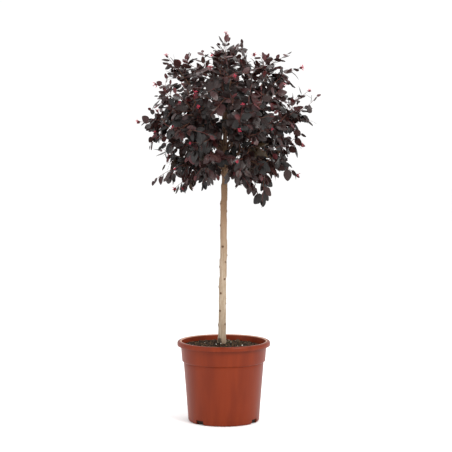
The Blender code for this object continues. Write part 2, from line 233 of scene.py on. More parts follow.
def ripple(points, size, seed, waves=9):
    """Smooth unevenness, mostly from -1 to 1: sine waves of about that size with seeded aims."""
    rng = np.random.default_rng(seed)
    aims = unit(rng.normal(size=(waves, 3))) * rng.uniform(0.6, 1.6, (waves, 1))
    phases = rng.uniform(0, 2 * math.pi, waves)
    angles = points @ aims.T * (2 * math.pi / size) + phases
    return np.sin(angles).sum(-1) / math.sqrt(waves)


def curve(start, bend, end, step):
    """Points about a step apart on start (1-t)^2 + 2 bend t (1-t) + end t^2."""
    run = np.linalg.norm(bend - start) + np.linalg.norm(end - bend)
    t = np.linspace(0.0, 1.0, max(int(run / step), 4) + 1)[:, None]
    return start * (1 - t) ** 2 + bend * 2 * t * (1 - t) + end * t**2


def run_along(path):
    """How far each point of a path lies along it."""
    steps = np.linalg.norm(np.diff(path, axis=0), axis=1)
    return np.concatenate([[0.0], np.cumsum(steps)])


def read_along(path, values, places):
    """Values given at a path's points, read at other places along it."""
    run = run_along(path)
    columns = np.asarray(values, float).reshape(len(path), -1)
    return np.stack([np.interp(places, run, column) for column in columns.T], 1)


def frames(paths):
    """Two directions square to each path at each point, carried along the paths without twist."""
    ahead = unit(np.gradient(paths, axis=1))
    upright = np.abs(ahead[:, :1, 2]) > 0.9
    first = np.where(upright, [[1.0, 0.0, 0.0]], [[0.0, 0.0, 1.0]])
    side = np.empty_like(ahead)
    side[:, 0] = unit(np.cross(ahead[:, 0], first))
    for place in range(1, paths.shape[1]):
        before, here = side[:, place - 1], ahead[:, place]
        side[:, place] = unit(before - here * (before * here).sum(-1, keepdims=True))
    return side, np.cross(ahead, side)


def tubes(paths, radii, sides):
    """Rings round paths: path + radius (side cos a + across sin a), with a from 0 to 2 pi."""
    side, across = frames(paths)
    cosine, sine = circle(sides).T[..., None]
    ring = side[:, :, None] * cosine + across[:, :, None] * sine
    return paths[:, :, None] + ring * radii[..., None, None]


# Meshes


def shell_faces(shapes, rings, sides):
    """The corners of the faces of closed shells made of rings: four-sided faces, then the caps.

    Each corner is a pair: its point, and its place in the map, which has one more side than the
    points because the map is cut open along the last side.
    """
    shape, ring, side = np.meshgrid(
        np.arange(shapes), np.arange(rings - 1), np.arange(sides), indexing="ij"
    )
    corner_rings = np.stack([ring, ring, ring + 1, ring + 1], -1)
    corner_sides = np.stack([side, side + 1, side + 1, side], -1)
    first = shape[..., None] * rings + corner_rings
    points = first * sides + corner_sides % sides
    places = first * (sides + 1) + corner_sides
    return points.reshape(-1, 4), places.reshape(-1, 4)


def cap_faces(shapes, rings, sides):
    """The points of the two flat faces that close each shell, the first one turned round."""
    start = np.arange(shapes)[:, None] * rings * sides
    foot = start + np.arange(sides)[::-1]
    head = start + (rings - 1) * sides + np.arange(sides)
    return np.concatenate([foot, head])


CAP_SPOT = 0.004


def cap_places(uv, sides):
    """Small round places on the map for the caps, so that no face has an empty place there."""
    spot = circle(sides) * CAP_SPOT
    foot = uv[:, 0].mean(1)[:, None] + spot[::-1] + (0, CAP_SPOT * 2)
    head = uv[:, -1].mean(1)[:, None] + spot - (0, CAP_SPOT * 2)
    return np.concatenate([foot, head])


def shells(name, points, uv=None, sharp=40.0):
    """A mesh of closed shells, from an array of shells, rings, sides and coordinates."""
    number, rings, sides = points.shape[:3]
    walls, places = shell_faces(number, rings, sides)
    caps = cap_faces(number, rings, sides)
    corners = np.concatenate([walls.ravel(), caps.ravel()]).astype(np.int32)
    sizes = np.concatenate([np.full(len(walls), 4), np.full(len(caps), sides)])
    mesh = bpy.data.meshes.new(name)
    mesh.vertices.add(number * rings * sides)
    mesh.vertices.foreach_set("co", points.astype(np.float32).ravel())
    mesh.loops.add(len(corners))
    mesh.loops.foreach_set("vertex_index", corners)
    mesh.polygons.add(len(sizes))
    starts = np.concatenate([[0], np.cumsum(sizes)[:-1]]).astype(np.int32)
    mesh.polygons.foreach_set("loop_start", starts)
    mesh.update(calc_edges=True)
    if uv is not None:
        layer = mesh.uv_layers.new(name=OWN_MAP)
        wall_uv = uv.reshape(-1, 2)[places.ravel()]
        cap_uv = cap_places(uv, sides).reshape(-1, 2)
        layer.uv.foreach_set("vector", np.concatenate([wall_uv, cap_uv]).astype(np.float32).ravel())
    mesh.shade_smooth()
    mesh.set_sharp_from_angle(angle=math.radians(sharp))
    return mesh


def tube_mesh(name, points, sharp=40.0):
    """A mesh of tubes. Its map runs round each tube across, and along each tube upwards."""
    shapes, rings, sides = points.shape[:3]
    across, up = np.meshgrid(np.linspace(0, 1, sides + 1), np.linspace(0.02, 0.98, rings))
    uv = np.broadcast_to(np.stack([across, up], -1), (shapes, rings, sides + 1, 2))
    return shells(name, points, uv, sharp)


def turned(profile, sides):
    """A profile of (radius, height) rows turned round the Z axis, as one shell's rings."""
    radius, height = np.asarray(profile).T[..., None, None]
    flat = circle(sides) * radius
    tall = np.broadcast_to(height, (len(radius), sides, 1))
    return np.concatenate([flat, tall], -1)[None]


def add_attribute(mesh, name, values):
    """Gives a mesh one value for each point, which its material can read."""
    layer = mesh.attributes.new(name, "FLOAT", "POINT")
    layer.data.foreach_set("value", values.astype(np.float32).ravel())


def show(name, data, place=(0.0, 0.0, 0.0), turn=(0.0, 0.0, 0.0)):
    """Adds an object to the scene."""
    item = bpy.data.objects.new(name, data)
    item.location = place
    item.rotation_euler = turn
    bpy.context.scene.collection.objects.link(item)
    return item


def add_piece(name, mesh, finish, nodes):
    """Shows a mesh as a piece of the plant that stands for some of the CAD nodes."""
    piece = show(name, mesh)
    mesh.materials.append(finish.material)
    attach(piece, ROOT)
    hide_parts(*nodes)


# Reading the frame


def node_points(name):
    """The points of a CAD node, as an array."""
    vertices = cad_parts[name].data.vertices
    points = np.empty(len(vertices) * 3)
    vertices.foreach_get("co", points)
    return points.reshape(-1, 3)


def node_surface(name):
    """The faces of a CAD node, in a form that answers where a ray meets them."""
    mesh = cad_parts[name].data
    return BVHTree.FromPolygons(
        [v.co for v in mesh.vertices], [p.vertices[:] for p in mesh.polygons]
    )


def limb_line(name, stations, width):
    """The middles and radii of a CAD limb at shares of its length, from its lower end.

    Each is a mean over the limb's points, weighted by a bell of that width round the station.
    """
    points = node_points(name)
    middle = points.mean(0)
    axis = np.linalg.svd(points - middle, full_matrices=False)[2][0]
    axis *= np.sign(axis[2])
    along = (points - middle) @ axis
    places = along.min() + np.ptp(along) * np.asarray(stations)
    weights = np.exp(-(((along[None] - places[:, None]) / width) ** 2))
    weights /= weights.sum(1, keepdims=True)
    middles = weights @ points
    offset = points[None] - middles[:, None]
    offset -= (offset @ axis)[..., None] * axis
    radii = (weights * np.linalg.norm(offset, axis=-1)).sum(1)
    return middles, radii


STEM_BELL = 0.012
STEM_SWELL = 1.05


def stem_line(heights):
    """The stem's middle and radius at some heights, from its CAD node."""
    stations = (np.asarray(heights) - STEM_LOW.z) / (STEM_HIGH.z - STEM_LOW.z)
    middles, radii = limb_line("stem", stations.clip(0, 1), STEM_BELL)
    middles[:, 2] = heights
    return middles, radii * STEM_SWELL


SOIL_CONE = 0.014


def soil_height(points):
    """The height of the soil's even surface: a cone with a slope, fitted to the CAD node."""
    top = node_points("soil")
    top = top[top[:, 2] > SOIL_HIGH.z - SOIL_CONE]
    terms = np.stack([np.ones(len(top)), np.hypot(top[:, 0], top[:, 1]), top[:, 0]], 1)
    level, fall, slope = np.linalg.lstsq(terms, top[:, 2], rcond=None)[0]
    return level + fall * np.hypot(points[..., 0], points[..., 1]) + slope * points[..., 0]


# Growth of the crown


@dataclass
class Limb:
    """A branch: its points, which limb bears it and at which point, its kind and how much it bears."""

    path: np.ndarray
    kind: str
    bearer: int = -1
    place: int = 0
    tips: np.ndarray = None


# What a metre of twig costs when it leaves its bearer square, how much of that it saves when it runs on
# ahead, and what each metre costs that it falls short of its least length
SQUARE_COST = 1.35
AHEAD_SAVES = 0.45
SHORT_COST = 2.5


class Growth:
    """The limbs grown so far, and the points on them where a twig may still start."""

    def __init__(self):
        self.limbs = []
        self.places = np.empty((0, 3))
        self.aims = np.empty((0, 3))
        self.owners = np.empty((0, 2), int)

    def add(self, limb, open_shares):
        """Adds a limb, which may bear twigs between two shares of its length."""
        number = len(self.limbs)
        self.limbs.append(limb)
        first, last = (int(len(limb.path) * part) for part in open_shares)
        chosen = np.arange(first, max(last, 1))
        aims = unit(np.gradient(limb.path, axis=0))
        self.places = np.concatenate([self.places, limb.path[chosen]])
        self.aims = np.concatenate([self.aims, aims[chosen]])
        owners = np.stack([np.full(len(chosen), number), chosen], 1)
        self.owners = np.concatenate([self.owners, owners])

    def nearest(self, goal, least):
        """The open point from which a twig reaches a goal best: near, and not doubling back."""
        toward = goal - self.places
        distance = np.linalg.norm(toward, axis=1)
        slant = (toward * self.aims).sum(1) / np.maximum(distance, 1e-9)
        cost = distance * (SQUARE_COST - AHEAD_SAVES * slant)
        return int(np.argmin(cost + np.maximum(least - distance, 0) * SHORT_COST))


CROWN_HEIGHT = 0.845


def crown_middle():
    """The middle of the crown: that of the masses' own middles, on the line of the stem."""
    middles = np.array([node_points(name).mean(0) for name in MASSES])
    return np.array([middles[:, 0].mean(), 0.0, CROWN_HEIGHT])


def height_share(points, reach):
    """How high points stand in the crown: 0 at its middle, 1 at its top and -1 at its foot."""
    return np.clip((points[:, 2] - CROWN_HEIGHT) / reach, -1, 1)


SHOOT_ROOM = 0.035
SHOOT_LEAST = 1.05


def shoot_tips(reach):
    """The tips of the long shoots: points of the masses that stand out most in their surroundings."""
    middle = crown_middle()
    tips = []
    for name in MASSES:
        points = np.unique(node_points(name).round(5), axis=0)
        distance = far(points, middle)
        apart = far(points[:, None], points)
        highest = np.where(apart < SHOOT_ROOM, distance[None], 0.0).max(1)
        standing = (distance >= highest - 1e-9) & (distance > reach * SHOOT_LEAST)
        tips.extend(points[standing])
    return np.array(tips)


SCATTER_TRIES = 420
SCATTER_FROM = 0.12
SCATTER_POWER = 0.45


def scattered(rng):
    """Places inside the masses, seeded, with more of them near the surface."""
    found = []
    for name in MASSES:
        tree = node_surface(name)
        middle = node_points(name).mean(0)
        aims = unit(rng.normal(size=(SCATTER_TRIES, 3)))
        shares = rng.uniform(SCATTER_FROM, 1.0, SCATTER_TRIES) ** SCATTER_POWER
        hits = [tree.ray_cast(Vector(middle), Vector(aim))[3] or 0.0 for aim in aims]
        found.append(middle + aims * (np.array(hits) * shares)[:, None])
    return np.concatenate(found)


def spread_out(candidates, taken, number, weights):
    """Picks places one by one, each the one that is farthest from all those taken before."""
    gap = np.min([far(candidates, place) for place in taken], 0)
    chosen = []
    for _ in range(number):
        chosen.append(candidates[np.argmax(gap * weights)])
        gap = np.minimum(gap, far(candidates, chosen[-1]))
    return np.array(chosen)


BLOOM_RIM = 0.97
BLOOM_STAND = 1.03


def bloom_places(stage, reach):
    """Where each bloom of the front view sits: its line of sight meets the crown's surface there.

    A line that misses the crown keeps its place on the upright plane through the stem.
    """
    eye = np.array([stage.shift, -stage.distance, stage.height])
    middle = crown_middle()
    places = []
    for across, height in BLOOMS:
        place = np.array([across, 0.0, height])
        aim = unit(place - eye)
        nearest = (middle - eye) @ aim
        offset = eye + aim * nearest - middle
        miss = offset @ offset
        if miss < (reach * BLOOM_RIM) ** 2:
            place = eye + aim * (nearest - math.sqrt((reach * BLOOM_STAND) ** 2 - miss))
        places.append(place)
    return np.array(places)


BOUGH_STATIONS = np.linspace(0, 1, 9)
BOUGH_BELL = 0.006
BOUGH_ROOT = 0.008
BOUGH_RISE = 0.03
BOUGH_REACH = 0.45
LIMB_STEP = 0.006


def bough_line(name):
    """A bough's CAD line from inside the stem to its end, and on into its mass as a limb."""
    mass = name.replace("bough_", "foliage_")
    middles, _ = limb_line(name, BOUGH_STATIONS, BOUGH_BELL)
    heart = node_points(mass).mean(0)
    if far(middles[0], heart) < far(middles[-1], heart):
        middles = middles[::-1]
    root = middles[0] + unit(middles[0] - middles[1]) * BOUGH_ROOT
    outward = unit(heart - crown_middle() + (0, 0, BOUGH_RISE))
    reach = node_surface(mass).ray_cast(Vector(heart), Vector(outward))[3]
    end = heart + outward * reach * BOUGH_REACH
    return np.concatenate([[root], middles[:-1], curve(middles[-1], heart, end, LIMB_STEP)])


# How much a twig starts along its bearer, how much it strays, where it bends, and its zigzag
BEARER_AIM = 0.5
STRAY = 0.22
BEND_AT = 0.5
ZIGZAG = 0.014
ZIGZAG_DEPTH = 0.0009


def twig_path(start, aim, goal, lift, rng):
    """A twig's path: it leaves its bearer at a slant and bends to its goal, with a slight zigzag."""
    run = far(goal, start)
    away = unit(goal - start)
    leave = unit(aim * BEARER_AIM + away + rng.normal(size=3) * STRAY)
    bend = start + leave * run * BEND_AT
    bend[2] += lift * run
    path = curve(start, bend, goal, LIMB_STEP)
    t = np.linspace(0, 1, len(path))[:, None]
    side = unit(np.cross(away, rng.normal(size=3)))
    zigzag = np.sin(t * run / ZIGZAG * math.pi) * ZIGZAG_DEPTH
    return path + side * zigzag * np.sin(math.pi * t)


# The share of the crown's radius that has no sprays, how places in its heart and at its surface weigh,
# the least length of shoots and twigs, how strongly they arch, and where limbs may bear twigs
BARE_HEART = 0.32
HEART_WEIGHT = 0.62
SURFACE_WEIGHT = 0.38
SHOOT_RUN = 0.085
TWIG_RUN = 0.035
ARCH = 0.10
BOUGH_OPEN = (0.3, 1.0)
TWIG_OPEN = (0.25, 0.8)
BLOOM_ON_SHOOT = 0.030
SHOOT_SHORT = 0.010


@lru_cache(maxsize=2)
def grow_crown(seed, sprays, reach, bloom_row):
    """Grows the limbs of the crown by a seeded rule.

    Each bough runs on into its mass. Then the goals are met from the heart of the crown outwards:
    places scattered evenly in the masses, the tips of the long shoots, and the blooms. A twig grows
    to each from the best point of the limbs that are there by then. Low twigs arch over, high ones
    bend up. The blooms' places come as one row of numbers.
    """
    rng = np.random.default_rng(seed)
    middle = crown_middle()
    growth = Growth()
    for name in BOUGHS:
        growth.add(Limb(bough_line(name), "bough"), BOUGH_OPEN)
    tips = shoot_tips(reach)
    blooms = np.array(bloom_row).reshape(-1, 3)
    near = far(blooms[:, None], tips).min(1) < BLOOM_ON_SHOOT
    on_shoots, blooms = blooms[near], blooms[~near]
    candidates = scattered(rng)
    depth = far(candidates, middle) / reach
    outer = depth > BARE_HEART
    weights = HEART_WEIGHT + SURFACE_WEIGHT * np.clip(depth[outer], 0, 1)
    places = spread_out(candidates[outer], np.concatenate([tips, blooms]), sprays, weights)
    goals = [(place, "spray") for place in places]
    goals += [(place, "bloom") for place in blooms]
    for tip in tips:
        blooming = far(on_shoots, tip).min(initial=1.0) < BLOOM_ON_SHOOT
        inner = tip + unit(middle - tip) * SHOOT_SHORT
        goals.append((inner, "blooming shoot" if blooming else "shoot"))
    goals.sort(key=lambda goal: far(goal[0], middle))
    for goal, kind in goals:
        best = growth.nearest(goal, SHOOT_RUN if "shoot" in kind else TWIG_RUN)
        height = (goal[2] - middle[2]) / reach
        lift = -ARCH * height + (ARCH if height < 0 else 0.0)
        path = twig_path(growth.places[best], growth.aims[best], goal, lift, rng)
        bearer, place = growth.owners[best]
        growth.add(Limb(path, kind, int(bearer), int(place)), TWIG_OPEN)
    count_tips(growth.limbs)
    return growth.limbs


def count_tips(limbs):
    """How many tips each point of each limb carries: its own, and those of the twigs beyond it."""
    for limb in limbs:
        limb.tips = np.ones(len(limb.path))
    for limb in reversed(limbs):
        if limb.bearer >= 0:
            limbs[limb.bearer].tips[: limb.place + 1] += limb.tips[0]


TAPER = (1.25, 0.8)
THICKENING = 0.4


def limb_radii(limb, tip):
    """A limb's radius at each point: the tip's, times a power of the number of tips it carries."""
    return tip * np.linspace(*TAPER, len(limb.path)) * limb.tips**THICKENING


def crown_limbs(scene):
    """The crown as it grows with the scene's settings."""
    growth = scene.fringe_crown
    blooms = bloom_places(scene.fringe_stage, growth.reach)
    bloom_row = tuple(blooms.round(5).ravel())
    return grow_crown(growth.seed, growth.sprays, round(growth.reach, 5), bloom_row)


def resampled(path, values, rings, first, last):
    """A path and values along it at even steps between two shares of its length."""
    places = np.linspace(first, last, rings) * run_along(path)[-1]
    return read_along(path, path, places), read_along(path, values, places)[:, 0]


# Materials


class Term:
    """A socket in a node tree. Python's operators on it add Math nodes."""

    def __init__(self, finish, socket):
        self.finish = finish
        self.socket = socket

    def math(self, operation, *values):
        sockets = dict(enumerate(values))
        return self.finish.node("ShaderNodeMath", {"operation": operation}, sockets)

    def __add__(self, other):
        return self.math("ADD", self, other)

    def __radd__(self, other):
        return self.math("ADD", other, self)

    def __sub__(self, other):
        return self.math("SUBTRACT", self, other)

    def __rsub__(self, other):
        return self.math("SUBTRACT", other, self)

    def __mul__(self, other):
        return self.math("MULTIPLY", self, other)

    def __pow__(self, other):
        return self.math("POWER", self, other)

    def __abs__(self):
        return self.math("ABSOLUTE", self)

    def __mod__(self, other):
        return self.math("FLOORED_MODULO", self, other)

    def __gt__(self, other):
        return self.math("GREATER_THAN", self, other)

    def floor(self):
        return self.math("FLOOR", self)

    def ramp(self, low, high):
        """0 below one value, 1 above the other, and smooth between them."""
        sockets = {"Value": self, "From Min": low, "From Max": high}
        return self.finish.node("ShaderNodeMapRange", {"interpolation_type": "SMOOTHSTEP"}, sockets)


class Finish:
    """A material: its node tree, and the Principled shader that the patterns feed."""

    def __init__(self, name, roughness, specular, sheen=0.0):
        self.material = bpy.data.materials.new(name)
        self.material.use_nodes = True
        self.tree = self.material.node_tree
        self.shader = self.tree.nodes["Principled BSDF"]
        self.roughness(roughness)
        self.put(self.shader.inputs["Specular IOR Level"], specular)
        self.put(self.shader.inputs["Sheen Weight"], sheen)

    def node(self, kind, settings=None, sockets=None, output=0):
        """Adds a node: first its settings, then its sockets' values or links. Gives one output."""
        node = self.tree.nodes.new(kind)
        for name, value in (settings or {}).items():
            setattr(node, name, value)
        for name, value in (sockets or {}).items():
            self.put(node.inputs[name], value)
        return Term(self, node.outputs[output])

    def put(self, socket, value):
        """Links a term to a socket, or sets the socket to a number, a place or a colour."""
        if isinstance(value, Term):
            self.tree.links.new(value.socket, socket)
        elif isinstance(value, tuple) and socket.type == "RGBA":
            socket.default_value = (*value, 1.0)
        else:
            socket.default_value = value

    def place(self):
        """The place on the object, in metres."""
        return self.node("ShaderNodeTexCoord", output="Object")

    def own_map(self):
        """The place on the piece's own map: across it and up it."""
        both = self.node("ShaderNodeUVMap", {"uv_map": OWN_MAP})
        return self.axis(both, 0), self.axis(both, 1)

    def axis(self, place, number):
        """One of the three numbers of a place."""
        return self.node("ShaderNodeSeparateXYZ", sockets={0: place}, output=number)

    def joined(self, x, y, z=0.0):
        """A place made from three numbers."""
        return self.node("ShaderNodeCombineXYZ", sockets={0: x, 1: y, 2: z})

    def stretched(self, place, scale):
        """A place with each of its three numbers times a factor."""
        settings = {"operation": "MULTIPLY"}
        return self.node("ShaderNodeVectorMath", settings, {0: place, 1: scale})

    def noise(self, size, detail=2.0, roughness=0.5, place=None):
        """Cloudy unevenness from 0 to 1 with features of a size in metres."""
        sockets = {
            "Vector": place or self.place(),
            "Scale": 1.0 / size,
            "Detail": detail,
            "Roughness": roughness,
        }
        return self.node("ShaderNodeTexNoise", sockets=sockets, output="Fac")

    def upright_noise(self, size, share, roughness=0.6):
        """Unevenness that is drawn out upwards: across, its features are a share of their height."""
        return self.noise(size, 3.0, roughness, self.stretched(self.place(), (1.0, 1.0, share)))

    def cells(self, size, place=None):
        """The distance to the nearest of scattered points, as a share of their spacing."""
        sockets = {"Vector": place or self.place(), "Scale": 1.0 / size}
        return self.node("ShaderNodeTexVoronoi", sockets=sockets, output="Distance")

    def mix(self, amount, low, high):
        """A colour between two."""
        settings = {"data_type": "RGBA", "clamp_factor": True}
        return self.node("ShaderNodeMix", settings, {0: amount, 6: low, 7: high}, output=2)

    def tint(self, base, by):
        """A colour times a number."""
        settings = {"operation": "SCALE"}
        return self.node("ShaderNodeVectorMath", settings, {0: base, "Scale": by})

    def bump(self, height, depth, strength):
        """Unevenness that only the light shows, of a depth in metres."""
        sockets = {"Height": height, "Distance": depth, "Strength": strength}
        self.put(self.shader.inputs["Normal"], self.node("ShaderNodeBump", sockets=sockets))

    def colour(self, value):
        self.put(self.shader.inputs["Base Color"], value)

    def roughness(self, value):
        self.put(self.shader.inputs["Roughness"], value)


def scaled(tint, by):
    """A colour times a factor, or times one factor for each of red, green and blue."""
    factors = by if isinstance(by, tuple) else (by, by, by)
    return tuple(min(part * factor, 1.0) for part, factor in zip(tint, factors))


# The height up to which the pot is scuffed, and between which heights and radii a painted highlight runs
# along the lip's inner top edge
SCUFFS_TO = 0.05
LIP_HIGHLIGHT_HEIGHTS = (0.2226, 0.2240)
LIP_HIGHLIGHT_RADII = (0.1200, 0.1225)
LIP_HIGHLIGHT = (0.62, 0.36, 0.25)


def plastic_finish(looks):
    """Moulded plastic: faint upright flow marks whose lighter streaks are partly painted highlight,
    scuffs towards the foot, and a painted highlight along the lip's inner top edge.
    """
    finish = Finish("terracotta_plastic", 0.42, specular=0.20)
    base = tuple(looks.plastic)
    place = finish.place()
    height = finish.axis(place, 2)
    flow_and_highlight = finish.upright_noise(0.030, 0.12, 0.55)
    cloud = finish.noise(0.060)
    scuff = finish.upright_noise(0.004, 0.35, 0.65)
    low = 1 - height.ramp(0.0, SCUFFS_TO)
    worn = scuff.ramp(0.56, 0.72) * low * 0.35
    # Lighter, paler upright streaks: moulding flow marks, partly painted highlight streaks
    shade = finish.mix(flow_and_highlight.ramp(0.3, 0.7), scaled(base, 0.84), scaled(base, (1.14, 1.30, 2.2)))
    shade = finish.mix(cloud * 0.35, shade, scaled(base, (0.95, 0.80, 0.72)))
    x, y = finish.axis(place, 0), finish.axis(place, 1)
    away = (x * x + y * y) ** 0.5
    # A painted highlight along the lip's inner top edge
    crest = height.ramp(*LIP_HIGHLIGHT_HEIGHTS) * (1 - away.ramp(*LIP_HIGHLIGHT_RADII))
    shade = finish.mix(worn, shade, scaled(base, (1.25, 2.4, 9.0)))
    finish.colour(finish.mix(crest * 0.75, shade, LIP_HIGHLIGHT))
    finish.roughness(0.36 + flow_and_highlight * 0.10 + worn * 0.4)
    finish.bump(flow_and_highlight * 0.4 + scuff * 0.12, 0.0004, 0.35)
    return finish


def earth_finish(name, dark, light):
    """Moist potting mix: dark and light grains at two sizes."""
    finish = Finish(name, 0.93, specular=0.25)
    coarse = finish.noise(0.006, 3.0, 0.6)
    fine = finish.noise(0.0016, 2.0, 0.6)
    grain = coarse * 0.55 + fine * 0.45
    finish.colour(finish.mix(grain.ramp(0.36, 0.66), dark, light))
    finish.bump(grain, 0.0008, 0.8)
    return finish


# The heights between which the stem turns browner, and between which it turns darker and browner towards
# the soil
BROWNING = (0.34, 0.64)
SOIL_LINE_DARKENING = (0.216, 0.236)
SCAR = (0.085, 0.045, 0.024)


def stem_finish(looks):
    """Pale bark: fine upright streaks, browner towards the crown, with dark scars in the knots."""
    finish = Finish("pale_bark", 0.78, specular=0.3)
    base = tuple(looks.stem)
    place = finish.place()
    height = finish.axis(place, 2)
    scar = finish.node("ShaderNodeAttribute", {"attribute_name": "scar"}, output="Fac")
    streak = finish.upright_noise(0.0035, 0.10)
    patch = finish.upright_noise(0.022, 0.45)
    fleck = finish.cells(0.0052, finish.stretched(place, (1.0, 1.0, 0.6)))
    bark = finish.mix(streak.ramp(0.35, 0.7), scaled(base, (0.80, 0.76, 0.70)), scaled(base, 1.10))
    bark = finish.mix(patch.ramp(0.45, 0.70) * 0.60, bark, scaled(base, (0.66, 0.56, 0.46)))
    bark = finish.mix(height.ramp(*BROWNING), bark, scaled(base, (0.58, 0.43, 0.32)))
    fleck = (1 - fleck.ramp(0.10, 0.24)) * 0.45
    bark = finish.mix(fleck, bark, scaled(base, (0.52, 0.42, 0.34)))
    # Darker and browner towards the soil
    soil_line_dark = (1 - height.ramp(*SOIL_LINE_DARKENING)) * 0.55
    bark = finish.mix(soil_line_dark, bark, scaled(base, (0.30, 0.24, 0.18)))
    bark = finish.mix(scar.ramp(0.10, 0.40) * 0.60, bark, scaled(base, (0.50, 0.36, 0.26)))
    finish.colour(finish.mix(scar.ramp(0.36, 0.62), bark, SCAR))
    finish.bump(streak * 0.5 + patch * 0.4 - fleck * 0.6, 0.0006, 0.6)
    return finish


def wood_finish(name, base, ring_count):
    """Bark of branches: streaks along them, pale dots, and a slight ring at each old leaf scar."""
    finish = Finish(name, 0.72, specular=0.35)
    across, up = finish.own_map()
    place = finish.joined(across * 0.02, up * 0.08)
    streak = finish.noise(0.004, 3.0, 0.6, finish.stretched(place, (1.0, 0.35, 1.0)))
    dots = 1 - finish.cells(0.0042, place).ramp(0.10, 0.26)
    ring = ((up * ring_count) % 1.0).ramp(0.90, 0.97)
    bark = finish.mix(streak.ramp(0.32, 0.70), scaled(base, 0.60), scaled(base, (1.35, 1.40, 1.45)))
    bark = finish.mix(dots * 0.5, bark, scaled(base, (2.2, 2.5, 2.7)))
    finish.colour(finish.mix(ring * 0.5, bark, scaled(base, 0.45)))
    finish.bump(streak * 0.6 + ring * 0.5, 0.0003, 0.6)
    return finish


LEAF_CELLS = 4


def leaf_finish(name, base, under, gloss):
    """A leaf: veins and midrib drawn on its own map, a paler underside, and sixteen shades.

    Each leaf lies in one of sixteen cells of the map. The upper side fills the left half of its cell
    and the underside the right half, both with the midrib up their middle.
    """
    finish = Finish(name, gloss, specular=0.36)
    across, up = finish.own_map()
    across = across * float(LEAF_CELLS)
    up = up * float(LEAF_CELLS)
    cell = finish.joined(across.floor(), up.floor())
    shade = finish.node("ShaderNodeTexWhiteNoise", sockets={"Vector": cell}, output="Value")
    warm = finish.node(
        "ShaderNodeTexWhiteNoise", {"noise_dimensions": "4D"}, {"Vector": cell, "W": 3.0}, "Value"
    )
    across = across % 1.0
    up = up % 1.0
    below = across > 0.5
    off_rib = abs(abs(across - 0.5) - 0.25) * 4.0
    vein_place = up * 7.0 - off_rib * 2.1 + shade
    vein = 1 - abs(vein_place % 1.0 - 0.5).ramp(0.03, 0.16)
    rib = 1 - off_rib.ramp(0.02, 0.09)
    lines = rib.math("MAXIMUM", rib, vein * (0.75 - off_rib * 0.5))
    mottle = finish.noise(0.10, 3.0, 0.6, finish.joined(across, up, shade * 9.0))
    upper = finish.mix(mottle.ramp(0.30, 0.72), scaled(base, 0.72), scaled(base, (1.30, 1.22, 1.20)))
    upper = finish.mix(off_rib.ramp(0.62, 1.0) * 0.5, upper, scaled(base, (1.45, 1.05, 1.05)))
    upper = finish.mix(lines * 0.45, upper, scaled(base, (2.3, 1.9, 1.9)))
    lower = finish.mix(mottle.ramp(0.30, 0.72), scaled(under, 0.8), scaled(under, 1.15))
    lower = finish.mix(lines * 0.6, lower, scaled(under, (1.6, 1.1, 1.1)))
    leaf = finish.mix(below, upper, lower)
    leaf = finish.mix(warm * 0.40, leaf, scaled(base, (1.9, 1.3, 0.8)))
    finish.colour(finish.tint(leaf, 0.70 + shade * 0.62))
    finish.roughness(gloss - 0.05 + mottle * 0.12 + below * 0.12)
    finish.bump(0.7 - lines * 0.8 + mottle * 0.3, 0.0006, 0.55)
    return finish


def petal_finish(name, base):
    """A petal or bud: paler towards its end, with fine streaks along it."""
    finish = Finish(name, 0.55, specular=0.35, sheen=0.2)
    across, up = finish.own_map()
    streak = finish.noise(0.06, 2.0, 0.6, finish.joined(across, up * 0.15))
    petal = finish.mix(up, scaled(base, (0.75, 0.55, 0.6)), scaled(base, (1.2, 1.7, 1.4)))
    finish.colour(finish.mix(streak.ramp(0.4, 0.7) * 0.5, petal, scaled(base, (0.7, 0.5, 0.6))))
    finish.bump(streak, 0.0002, 0.5)
    return finish


def floor_finish():
    """A plain pale floor with a barely visible unevenness."""
    finish = Finish("pale_floor", 0.95, specular=0.1)
    cloud = finish.noise(0.9)
    finish.colour(finish.mix(cloud, (0.975, 0.975, 0.975), (0.995, 0.995, 0.995)))
    return finish


# Pot

AXIS_HOLE = 0.0006
EASE = 0.0009
POT_SIDES = 180
PROFILE_STEP = 0.012


def arc(middle_radius, middle_height, size, first, last, steps):
    """Points of an arc in the profile's plane, with angles in degrees from outwards to up."""
    angles = np.radians(np.linspace(first, last, steps))
    return np.stack(
        [middle_radius + size * np.cos(angles), middle_height + size * np.sin(angles)], 1
    )


def stretch(points, most):
    """A profile with more points on its long straight stretches, none longer than the most."""
    filled = [points[:1]]
    for start, end in zip(points, points[1:]):
        steps = max(int(np.ceil(np.linalg.norm(end - start) / most)), 1)
        filled.append(start + (end - start) * np.linspace(0, 1, steps + 1)[1:, None])
    return np.concatenate(filled)


